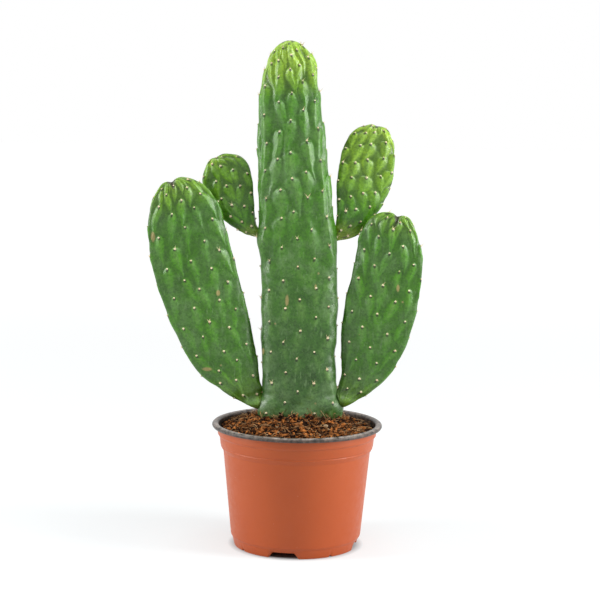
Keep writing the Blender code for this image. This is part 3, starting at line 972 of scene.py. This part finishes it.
# %% Tuft tree: a squashed cushion with a bristle at some of its corners
def make_tuft_tree():
    tree, given, made = geometry_tree(
        "areole_tufts", ("Cushion Radius", "value"), ("Bristle Length", "value"),
        ("Bristle Radius", "value"), ("Seed", "int"), ("Material", "material"))
    cushion = add_node(tree, "GeometryNodeMeshIcoSphere", {
        "Subdivisions": 2, "Radius": given["Cushion Radius"]}).outputs["Mesh"]
    bristle = add_node(tree, "GeometryNodeMeshCone", {
        "Vertices": 3, "Depth": given["Bristle Length"],
        "Radius Bottom": given["Bristle Radius"]}, fill_type="NONE")
    lean = add_node(tree, "FunctionNodeAlignRotationToVector", {
        "Vector": add_node(tree, "GeometryNodeInputNormal").outputs[0]}, axis="Z")
    some = add_node(tree, "FunctionNodeRandomValue", {
        "Probability": 0.16, "Seed": given["Seed"]}, data_type="BOOLEAN")
    brush = add_node(tree, "GeometryNodeInstanceOnPoints", {
        "Points": cushion, "Instance": bristle.outputs["Mesh"], "Rotation": lean.outputs[0],
        "Selection": some.outputs[3]})
    both = add_node(tree, "GeometryNodeJoinGeometry")
    join(tree, (cushion, both.inputs[0]), (brush.outputs[0], both.inputs[0]))
    squash = add_node(tree, "GeometryNodeTransform", {
        "Geometry": both.outputs[0], "Scale": (1.0, 0.85, 0.75)})
    return end_on_points(tree, squash.outputs[0], given, made)


TUFT_TREE = make_tuft_tree()


# %% Spine tree: a slender cone with its base on the point
def make_spine_tree():
    tree, given, made = geometry_tree(
        "spines", ("Length", "value"), ("Radius", "value"), ("Material", "material"))
    cone = add_node(tree, "GeometryNodeMeshCone", {
        "Vertices": 6, "Side Segments": 3, "Depth": given["Length"],
        "Radius Bottom": given["Radius"]})
    return end_on_points(tree, cone.outputs["Mesh"], given, made)


SPINE_TREE = make_spine_tree()


# %% Where the areoles are on a paddle
NECK_CLEAR = 0.035                   # no areoles on this share of the length, next to the neck
TIP_CLEAR = 0.992
NARROWEST_FILE = 0.0036


def areoles_of(node):
    grid, normals, place = surfaces[node]
    lattice, climb = place["lattice"], place["climb"]
    sides = grid.shape[1]
    found = []
    for step in range(-lattice.wraps - 2, int(climb[-1] / lattice.pitch) + 2):
        for file in range(lattice.files):
            around, along, luck, _ = lattice.place(float(file), float(step))
            if not 0 < along < climb[-1]:
                continue
            k = int(np.searchsorted(climb, along))
            m = int(round(around / lattice.files * sides)) % sides
            share = place["share"][k]
            narrow = place["girth"][k] / lattice.files < NARROWEST_FILE
            if share < NECK_CLEAR or share > TIP_CLEAR or (narrow and file % 2):
                continue
            found.append((grid[k, m], normals[k, m], share, luck))
    return found, place["axis"]


# %% Wool and spine materials
WOOL = mottled_material("areole_wool", (0.98, 0.90, 0.62), (0.78, 0.50, 0.28), 60.0, 0.7,
                        0.9, 2500.0, 0.6)
SPINE = mottled_material("pale_spine", (0.90, 0.80, 0.50), (0.60, 0.40, 0.18), 500.0, 0.7,
                         0.45, 1500.0, 0.3)

# %% Put the tufts and spines on every paddle
CUSHION_RADIUS = 0.00098
BRISTLE_LENGTH = 0.0009
BRISTLE_RADIUS = 0.00012
TUFT_RISE = 0.45                     # tufts look a little up along the paddle
SPINY_LUCK = 0.895                   # areoles luckier than this have a spine
STEM_SPINY_LUCK = 0.22               # and on the stem those unluckier than this too
SPINE_LENGTH = 0.0046
SPINE_RADIUS = 0.00042


def dress_paddle(node):
    found, axis = areoles_of(node)
    upward = np.tile(axis, (len(found), 1))
    facing = np.array([normal + TUFT_RISE * axis for _, normal, _, _ in found])
    size = np.array([(0.8 + 0.5 * luck) * (1.15 - 0.3 * share) for _, _, share, luck in found])
    cloud = point_object(node + "_points", [point for point, _, _, _ in found],
                         facing=facing, upward=upward, size=size)
    tufts = apply_tree(cloud, TUFT_TREE, node + "_areoles", Cushion_Radius=CUSHION_RADIUS,
                       Bristle_Length=BRISTLE_LENGTH, Bristle_Radius=BRISTLE_RADIUS,
                       Seed=PADDLES[node]["salt"], Material=WOOL)
    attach(tufts, "root")
    spiny = [(point, normal, luck) for point, normal, _, luck in found
             if luck > SPINY_LUCK or (node == "main_stem" and luck < STEM_SPINY_LUCK)]
    spots, ways, sizes = [], [], []
    side = np.cross(axis, [0, 1, 0])
    for point, normal, luck in spiny:
        for lean in (-0.45, 0.5)[:1 + (luck > 0.95 or luck < 0.12)]:
            spots.append(point)
            ways.append(0.4 * normal + side * lean + axis * (0.5 + luck * 0.3))
            sizes.append(0.65 + 0.4 * ((luck * 37) % 1) + 0.4 * (luck < 0.08))
    cloud = point_object(node + "_spine_points", spots, facing=np.array(ways),
                         upward=np.tile(axis, (len(spots), 1)), size=np.array(sizes))
    spines = apply_tree(cloud, SPINE_TREE, node + "_spines", Length=SPINE_LENGTH,
                        Radius=SPINE_RADIUS, Material=SPINE)
    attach(spines, "root")
    print(node, len(found), "areoles,", len(spots), "spines")


for node in PADDLES:
    dress_paddle(node)

# %% [markdown]
# ## The pot
# The pot is formed from one two-layer sheet: terracotta outside, black inside. The black layer
# rolls over at the rim into a lip. It is turned from a profile, except for its foot, where the
# underside rises over four arches and four small notches, so the rings are worked out angle by
# angle. The two layers are two pieces, each half of the sheet thick.

# %% Pot profile: radius and height in millimetres, down the outside
SHEET = 0.9
LIP_HEIGHT = 4.3
LIP_REACH = 5.6
OUTSIDE = ((79.3, 112.6), (77.4, 110.4), (76.45, 101.9), (75.75, 101.2), (76.1, 100.3),
           (73.5, 95.6), (65.25, 11.0), (63.7, 8.6))
CORNER_ROUNDING = 0.7
FOOT_RADIUS = 61.8
FOOT_WIDTH = 4.4
BASE_UNDERSIDE = 7.4
BASE_RADIUS = 54.0
CENTRE_DRAIN_RADIUS = 4.5
ARCH_PITCH = 90.0
ARCH_FIRST = -101.0
ARCH_LIFT = 5.8
ARCH_TOP = 10.2
ARCH_FOOT = 14.4
NOTCH_LIFT = 3.0
NOTCH_HALF = 1.9
RIM_MM = RIM_TOP / MM
POT_RADIUS = (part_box("pot")[1][1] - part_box("pot")[0][1]) / 2 / MM


def rounded(points, radius, steps=4):
    """Replaces each inner corner of a line by a small arc."""
    path = [np.array(points[0], float)]
    for before, corner, after in zip(points, points[1:], points[2:]):
        before, corner, after = (np.array(p, float) for p in (before, corner, after))
        back, on = before - corner, after - corner
        reach = min(radius, np.linalg.norm(back) * 0.45, np.linalg.norm(on) * 0.45)
        start = corner + back / np.linalg.norm(back) * reach
        end = corner + on / np.linalg.norm(on) * reach
        for step in range(steps + 1):
            t = step / steps
            path.append(start * (1 - t) ** 2 + corner * 2 * t * (1 - t) + end * t ** 2)
    path.append(np.array(points[-1], float))
    return path


def wall_line(inset, lift):
    """The wall from under the lip down to the drain in the middle, moved in by inset."""
    foot = max(lift, 0)
    line = [(POT_RADIUS - LIP_REACH - inset, RIM_MM - LIP_HEIGHT + 0.3)]
    line += [(radius - inset, height + inset * 0.4) for radius, height in OUTSIDE]
    line += [(FOOT_RADIUS - inset, foot + inset), (FOOT_RADIUS - FOOT_WIDTH + inset, foot + inset),
             (BASE_RADIUS + inset, BASE_UNDERSIDE + inset),
             (CENTRE_DRAIN_RADIUS, BASE_UNDERSIDE + inset)]
    return rounded(line, CORNER_ROUNDING)


def lip_line():
    """The rolled lip, from the wall's outer face over the top to its inner face."""
    outer = POT_RADIUS
    wall = POT_RADIUS - LIP_REACH
    bottom = RIM_MM - LIP_HEIGHT
    corners = [(wall - SHEET / 2, bottom + 0.3), (wall + 0.6, bottom + 0.25),
               (outer - 0.9, bottom + 0.05), (outer, bottom + 1.4), (outer, RIM_MM - 1.5),
               (outer - 1.5, RIM_MM), (wall + 1.0, RIM_MM), (wall - SHEET, RIM_MM - 1.3),
               (wall - SHEET, bottom + 0.3)]
    return rounded(corners, 1.2)


def foot_lift(angle):
    offset = abs((angle - ARCH_FIRST + ARCH_PITCH / 2) % ARCH_PITCH - ARCH_PITCH / 2)
    arch = ARCH_LIFT * min(max((ARCH_FOOT - offset) / (ARCH_FOOT - ARCH_TOP), 0), 1)
    notch = NOTCH_LIFT * max(1 - (ARCH_PITCH / 2 - offset) / NOTCH_HALF, 0)
    return max(arch, notch)


# %% Turn the two layers
TURN_STEPS = 240


def pot_angles():
    """Even steps round the pot, and the exact corners of the arches and notches."""
    angles = {round(360 * i / TURN_STEPS, 3) for i in range(TURN_STEPS)}
    corners = (ARCH_TOP, ARCH_FOOT, ARCH_PITCH / 2 - NOTCH_HALF)
    for arch in range(4):
        for corner in corners:
            for side in (-1, 1):
                angles.add(round((ARCH_FIRST + arch * ARCH_PITCH + side * corner) % 360, 3))
    return sorted(angles)


def wall_between(bm, inner, outer):
    """A band of faces between two loops of points."""
    for i in range(len(inner)):
        j = (i + 1) % len(inner)
        bm.faces.new((inner[i], outer[i], outer[j], inner[j]))


def mesh_of(name, bm, closed=True):
    """Turns worked points and faces into a mesh; a closed one is smooth and faces outwards."""
    if closed:
        bmesh.ops.recalc_face_normals(bm, faces=bm.faces)
    mesh = bpy.data.meshes.new(name)
    bm.to_mesh(mesh)
    bm.free()
    if closed:
        mesh.shade_smooth()
    return mesh


def turned_layer(name, profile_at, *materials):
    """A closed ring-shaped mesh: one loop of the profile at every angle round the pot."""
    bm = bmesh.new()
    loops = []
    for angle in pot_angles():
        a = math.radians(angle)
        out = Vector((math.cos(a), math.sin(a), 0))
        loops.append([bm.verts.new(POT_AXIS + (out * radius + UP * height) * MM)
                      for radius, height in profile_at(foot_lift(angle))])
    for here, there in zip(loops, loops[1:] + loops[:1]):
        wall_between(bm, here, there)
    mesh = mesh_of(name, bm)
    mesh.set_sharp_from_angle(angle=math.radians(50))
    return add_object(name, mesh, *materials)


def skin_profile(lift):
    return wall_line(0, lift) + wall_line(SHEET / 2, lift)[::-1]


def lining_profile(lift):
    down = wall_line(SHEET, lift)
    up = wall_line(SHEET / 2 + 0.02, lift)[::-1]
    return lip_line() + down[1:] + up[:-1]


# %% Pot materials
TERRACOTTA = (0.515, 0.090, 0.0120)
TERRACOTTA_DARK = (0.46, 0.075, 0.0095)


def height_share(tree, place, low, high, most):
    """Grows from nothing at a low height to its most at a high one."""
    height = add_node(tree, "ShaderNodeSeparateXYZ", {0: place}).outputs["Z"]
    return value_range(tree, height, low, high, 0.0, most)


def make_terracotta():
    material, tree, surface, place = start_material("terracotta_plastic", 0.42, 700.0, 0.10,
                                                    0.0002, 0.48)
    mottle = place_group(tree, MOTTLE, place, Scale=22.0, Amount=0.5, Base=(*TERRACOTTA, 1),
                         Other=(*TERRACOTTA_DARK, 1))
    dust = place_group(tree, MOTTLE, place, Scale=160.0, Amount=1.0)["Mask"]
    specks = place_group(tree, SPECKS, place, Scale=260.0, Size=0.12, Share=0.05)["Mask"]
    rim_dust = math_of(tree, "MULTIPLY", dust,
                       height_share(tree, place, RIM_TOP - 0.03, RIM_TOP, 0.20))
    colour = blend_colours(tree, rim_dust, mottle["Colour"], (0.30, 0.13, 0.07))
    colour = blend_colours(tree, math_of(tree, "MULTIPLY", specks, 0.35), colour,
                           (0.62, 0.30, 0.17))
    join(tree, (colour, surface["Base Color"]),
         (value_range(tree, dust, 0.0, 1.0, 0.36, 0.50), surface["Roughness"]))
    return material


def make_black_plastic():
    material, tree, surface, place = start_material("black_plastic", 0.4, 900.0, 0.2, 0.0002, 0.4)
    worn = place_group(tree, MOTTLE, place, Scale=240.0, Amount=0.8,
                       Base=(0.014, 0.013, 0.012, 1), Other=(0.200, 0.150, 0.120, 1))
    dust = place_group(tree, SPECKS, place, Scale=700.0, Size=0.22, Share=0.16)["Mask"]
    # The top edge of the lip is lighter: partly real wear, partly a painted highlight along the top
    # of the rim.
    rim_wear_and_highlight = height_share(tree, place, RIM_TOP - 0.0012, RIM_TOP - 0.0002, 0.9)
    colour = blend_colours(tree, math_of(tree, "MULTIPLY", dust, 0.6), worn["Colour"],
                           (0.20, 0.13, 0.08))
    colour = blend_colours(tree, math_of(tree, "MULTIPLY", rim_wear_and_highlight, worn["Mask"]), colour,
                           (0.46, 0.40, 0.36))
    join(tree, (colour, surface["Base Color"]),
         (value_range(tree, worn["Mask"], 0.0, 1.0, 0.33, 0.55), surface["Roughness"]))
    return material


# %% Make the pot and drill its drain holes
DRAIN_RADIUS = 0.005
DRAIN_CIRCLE = 0.037
DRAIN_COUNT = 6


def drain_tool():
    """All the drain drills as one mesh of separate cylinders."""
    bm = bmesh.new()
    for i in range(DRAIN_COUNT):
        a = math.radians(ARCH_FIRST) + 2 * math.pi * i / DRAIN_COUNT
        place = POT_AXIS + Vector((math.cos(a), math.sin(a), 0)) * DRAIN_CIRCLE
        place.z = BASE_UNDERSIDE * MM
        bmesh.ops.create_cone(bm, cap_ends=True, segments=40, radius1=DRAIN_RADIUS,
                              radius2=DRAIN_RADIUS, depth=0.006,
                              matrix=Matrix.Translation(place))
    return add_object("drain_tool", mesh_of("drain_tool", bm, closed=False))


def drilled(piece, tool):
    modifier = piece.modifiers.new("drill", "BOOLEAN")
    modifier.object = tool
    modifier.operation = "DIFFERENCE"
    mesh = plain_mesh(piece)
    piece.modifiers.clear()
    piece.data = mesh
    return piece


tool = drain_tool()
for name, profile, material, slot_name in (
        ("pot_terracotta_layer", skin_profile, make_terracotta(), "pot_terracotta"),
        ("pot_black_layer", lining_profile, make_black_plastic(), "pot_black")):
    layer = drilled(turned_layer(name, profile, material), tool)
    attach(layer, "root")
    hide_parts("pot")
    print(name, len(layer.data.polygons), "faces")
bpy.data.objects.remove(tool, do_unlink=True)

# %% [markdown]
# ## Potting mix
# The mix is coir and peat: a crumbly bed, with bark chips and coarse fibres lying on it. The bed
# is one closed mesh with a rough top; the chips and the fibres are scattered over it by Geometry
# Nodes, and a few long fibres stand up against the stem.

# %% Shape of the bed
MIX_LOW, MIX_HIGH = (Vector(corner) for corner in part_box("potting_mix"))
MIX_RADIUS = (MIX_HIGH.y - MIX_LOW.y) / 2
MIX_DOME = 0.0124
MIX_DIP = 0.0042
MIX_DIP_TOWARDS = math.radians(40)
MOUND = 0.0028                       # the mix is heaped against the stem
STEM_RINGS, STEM_NORMALS, _ = surfaces["main_stem"]
FOOT = np.abs(STEM_RINGS[:, :, 2].mean(1) - MIX_HIGH.z).argmin()
STEM_MIDDLE = STEM_RINGS[FOOT, :, 0].mean() - POT_AXIS.x
STEM_HALF_WIDTH, STEM_HALF_DEPTH = np.ptp(STEM_RINGS[FOOT, :, :2], axis=0) / 2
LUMPS = ((0.0026, 90), (0.0032, 210))    # height in metres, and how many to a metre
CRUMBS = (0.0022, 520)
MOUND_SPREAD = 0.45
BED_SINK = 0.0004
BED_RINGS = 70
BED_SIDES = 220


def stem_distance(x, y):
    """1 on the stem's outline, and more outside it."""
    return math.hypot((x - STEM_MIDDLE) / STEM_HALF_WIDTH, y / STEM_HALF_DEPTH)


def bed_height(x, y):
    share = min(math.hypot(x, y) / MIX_RADIUS, 1.0)
    angle = math.atan2(y, x)
    dip = MIX_DIP * share ** 3 * max(math.cos(angle - MIX_DIP_TOWARDS), 0) ** 4
    spot = Vector((x, y, 0))
    lumps = sum(height * noise.noise(spot * count) for height, count in LUMPS)
    crumbs = CRUMBS[0] * noise.noise(spot * CRUMBS[1])
    mound = MOUND * (1 + 1.5 * noise.noise(spot * 130) + noise.noise(spot * 300))
    lumps += mound * math.exp(-((stem_distance(x, y) - 1) / MOUND_SPREAD) ** 2)
    return MIX_HIGH.z - BED_SINK - MIX_DOME * share ** 2 - dip + lumps + crumbs


def bed_ring(bm, radius, height_at):
    ring = []
    for i in range(BED_SIDES):
        a = 2 * math.pi * i / BED_SIDES
        x, y = radius * math.cos(a), radius * math.sin(a)
        ring.append(bm.verts.new(POT_AXIS + Vector((x, y, height_at(x, y)))))
    return ring


def make_bed_top(low=0.0, high=1.0):
    """The top of the bed as an open surface between two shares of its radius."""
    bm = bmesh.new()
    rings = [bed_ring(bm, MIX_RADIUS * (low + (high - low) * k / BED_RINGS), bed_height)
             for k in range(BED_RINGS + 1)]
    for inner, outer in zip(rings, rings[1:]):
        wall_between(bm, inner, outer)
    return bm, rings


def make_bed(material):
    bm, rings = make_bed_top(0.02)
    bm.faces.new(rings[0])
    outline = rings[-1]
    side = [(radius * MM, height * MM) for radius, height in wall_line(SHEET + 0.4, 9)]
    for radius, height in [point for point in side if point[1] < MIX_HIGH.z - 0.02][:-5]:
        loop = bed_ring(bm, radius, lambda x, y: max(height, MIX_LOW.z))
        wall_between(bm, outline, loop)
        outline = loop
    bm.faces.new(outline[::-1])
    return add_object("mix_bed", mesh_of("mix_bed", bm), material)


# %% Mix materials: a near-black bed, partly painted shade, and chips and fibres each with a tone of its own
def make_toned(name, dark, light, scale):
    material, tree, surface, place = start_material(name, 0.85, 1500.0, 0.7, 0.0004, 0.15)
    tone = value_range(tree, read_attribute(tree, "tone"), 0.25, 1.0)
    colour = blend_colours(tree, tone, dark, light)
    shade = blend_colours(tree, 1.0, colour, (0.5, 0.45, 0.42), "MULTIPLY")
    mottle = place_group(tree, MOTTLE, place, Scale=scale, Amount=0.7, Base=colour, Other=shade)
    join(tree, (mottle["Colour"], surface["Base Color"]))
    return material


# The bed is near black: partly the dark peat, partly painted shade in the gaps between the chips.
BED_PEAT_AND_SHADE = mottled_material("peat_crumbs", (0.006, 0.003, 0.002), (0.040, 0.015, 0.006),
                                420.0, 1.0, 0.95, 700.0, 1.0, 0.0012, 0.1)
CHIPS = make_toned("coir_chips", (0.020, 0.007, 0.003), (0.76, 0.27, 0.065), 420.0)
FIBRES = make_toned("coir_fibres", (0.12, 0.05, 0.018), (0.80, 0.48, 0.23), 900.0)


# %% Chip tree: flakes and lumps scattered on a surface
def random_value(tree, low, high, seed, kind="FLOAT"):
    first = {"FLOAT": 2, "FLOAT_VECTOR": 0}[kind]
    node = add_node(tree, "FunctionNodeRandomValue", {first: low, first + 1: high, "Seed": seed},
                    data_type=kind)
    return node.outputs[1 if kind == "FLOAT" else 0]


def scatter_end(tree, instances, given, made):
    """Gives every scattered piece a tone, makes it real and paints it."""
    toned = add_node(tree, "GeometryNodeStoreNamedAttribute", {
        "Geometry": instances, "Name": "tone", "Value": random_value(tree, 0.0, 1.0, 77)},
        data_type="FLOAT", domain="INSTANCE")
    return end_tree(tree, toned.outputs[0], given, made)


def make_chip_tree():
    tree, given, made = geometry_tree(
        "coir_chip_scatter", ("Density", "value"), ("Chip Radius", "value"), ("Seed", "int"),
        ("Material", "material"))
    size = random_value(tree, (0.35, 0.3, 0.2), (1.7, 1.0, 0.75), 5, "FLOAT_VECTOR")
    turn = random_value(tree, (-0.7, -0.7, 0), (0.7, 0.7, 6.28), 6, "FLOAT_VECTOR")
    nudge = random_value(tree, (-0.0007, -0.0007, -0.0004), (0.0007, 0.0007, 0.0004), 8,
                         "FLOAT_VECTOR")
    spread = add_node(tree, "GeometryNodeDistributePointsOnFaces", {
        "Mesh": given["Geometry"], "Density": given["Density"], "Seed": given["Seed"]})
    lump = add_node(tree, "GeometryNodeMeshIcoSphere", {
        "Subdivisions": 1, "Radius": given["Chip Radius"]})
    ragged = add_node(tree, "GeometryNodeSetPosition", {
        "Geometry": lump.outputs["Mesh"], "Offset": nudge})
    placed = add_node(tree, "GeometryNodeInstanceOnPoints", {
        "Points": spread.outputs["Points"], "Instance": ragged.outputs[0], "Scale": size,
        "Rotation": turn})
    return scatter_end(tree, placed.outputs[0], given, made)


# %% Fibre tree: thin bent threads, lying or standing as their points say
def make_fibre_tree():
    tree, given, made = geometry_tree(
        "coir_fibre_scatter", ("Length", "value"), ("Thickness", "value"),
        ("Material", "material"))
    thread = add_node(tree, "GeometryNodeCurveQuadraticBezier", {
        "Resolution": 6, "Start": (-0.5, 0, 0), "Middle": (0.05, 0.28, 0.10), "End": (0.5, 0, 0)})
    scale = add_node(tree, "ShaderNodeCombineXYZ", {i: given["Length"] for i in range(3)})
    sized = add_node(tree, "GeometryNodeTransform", {
        "Geometry": thread.outputs[0], "Scale": scale.outputs[0]})
    ring = add_node(tree, "GeometryNodeCurvePrimitiveCircle", {
        "Resolution": 3, "Radius": given["Thickness"]})
    tube = add_node(tree, "GeometryNodeCurveToMesh", {
        "Fill Caps": True, "Curve": sized.outputs[0], "Profile Curve": ring.outputs[0]})
    turn = add_node(tree, "FunctionNodeEulerToRotation", {0: named(tree, "turn")})
    placed = add_node(tree, "GeometryNodeInstanceOnPoints", {
        "Points": given["Geometry"], "Instance": tube.outputs[0], "Rotation": turn.outputs[0],
        "Scale": named(tree, "size", "FLOAT")})
    return scatter_end(tree, placed.outputs[0], given, made)


# %% Lay the bed and scatter the chips
bed = make_bed(BED_PEAT_AND_SHADE)
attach(bed, "root")
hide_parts("potting_mix")
print("bed", len(bed.data.polygons), "faces")


def scatter_chips(name, density, radius, seed, low, high):
    bm, _ = make_bed_top(low, high)
    ground = add_object("chip_ground", mesh_of("chip_ground", bm, closed=False))
    chips = apply_tree(ground, CHIP_TREE, name, Density=density, Chip_Radius=radius, Seed=seed,
                       Material=CHIPS)
    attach(chips, "root")
    print(name, len(chips.data.polygons), "faces")


CHIP_TREE = make_chip_tree()
scatter_chips("mix_chips", 52000.0, 0.0026, 4, 0.12, 0.95)
scatter_chips("mix_crumbs", 130000.0, 0.0012, 9, 0.12, 0.97)

# %% Fibres on the bed and against the stem
FIBRE_TREE = make_fibre_tree()
FIBRE_LENGTH = 0.0125
LYING_FIBRES = 900
STANDING_FIBRES = 130


def lying_fibres(count):
    draw = np.random.default_rng(21)
    radius = MIX_RADIUS * 0.93 * np.sqrt(draw.uniform(0.05, 1, count))
    angle = draw.uniform(0, 2 * math.pi, count)
    points, turns = [], []
    for r, a in zip(radius, angle):
        x, y = r * math.cos(a), r * math.sin(a)
        points.append(POT_AXIS + Vector((x, y, bed_height(x, y) + 0.0009)))
        turns.append((draw.normal(0, 0.45), draw.normal(0, 0.28), draw.uniform(0, 6.28)))
    return points, np.array(turns), draw.uniform(0.35, 1.25, count)


def standing_fibres(count):
    """Fibres that stand close to the stem's foot, leaning on it."""
    draw = np.random.default_rng(8)
    points, turns = [], []
    for side in draw.integers(0, STEM_RINGS.shape[1], count):
        spot = Vector(STEM_RINGS[FOOT, side] + STEM_NORMALS[FOOT, side] * draw.uniform(0.001, 0.004))
        spot.z = POT_AXIS.z + bed_height(spot.x - POT_AXIS.x, spot.y - POT_AXIS.y) + 0.0022
        points.append(spot)
        turns.append((draw.normal(0, 0.5), -draw.uniform(0.3, 1.5), draw.uniform(0, 6.28)))
    return points, np.array(turns), draw.uniform(0.5, 1.0, count)


for name, (points, turns, sizes), thickness in (
        ("mix_fibres", lying_fibres(LYING_FIBRES), 0.00024),
        ("stem_fibres", standing_fibres(STANDING_FIBRES), 0.00026)):
    cloud = point_object(name + "_points", points, turn=turns, size=sizes)
    fibres = apply_tree(cloud, FIBRE_TREE, name, Length=FIBRE_LENGTH, Thickness=thickness,
                        Material=FIBRES)
    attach(fibres, "root")
    print(name, len(fibres.data.polygons), "faces")

# %% Pale grit among the chips
GRIT_MARK = (0.042, -0.041, 0.0019)  # the one stone that is easy to see: across, back, radius
GRIT_COUNT = 16


def make_grit(material):
    draw = np.random.default_rng(5)
    bm = bmesh.new()
    stones = [GRIT_MARK]
    for _ in range(GRIT_COUNT):
        a, r = draw.uniform(0, 2 * math.pi), MIX_RADIUS * math.sqrt(draw.uniform(0.3, 0.8))
        stones.append((POT_AXIS.x + r * math.cos(a), r * math.sin(a), draw.uniform(0.0006, 0.0012)))
    for x, y, radius in stones:
        spot = Vector((x, y, bed_height(x - POT_AXIS.x, y - POT_AXIS.y) + 0.0014))
        stone = Matrix.Translation(spot) @ Matrix.Diagonal((1.2, 0.9, 0.75, 1))
        bmesh.ops.create_icosphere(bm, subdivisions=2, radius=radius, matrix=stone)
    return add_object("mix_grit", mesh_of("mix_grit", bm), material)


grit = make_grit(mottled_material("pale_grit", (0.56, 0.42, 0.26), (0.34, 0.22, 0.12), 500.0,
                                  0.8, 0.8, 900.0, 0.8, 0.0004, 0.2))
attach(grit, "root")
print("grit", len(grit.data.polygons), "faces")

# %% [markdown]
# ## Roots
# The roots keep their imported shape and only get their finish: pale cork with darker patches.

# %% Root finish
bark = mottled_material("root_bark", (0.40, 0.27, 0.14), (0.20, 0.11, 0.05), 220.0, 0.9,
                        0.85, 500.0, 0.8, 0.0006)
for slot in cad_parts["roots"].material_slots:
    slot.material = bark
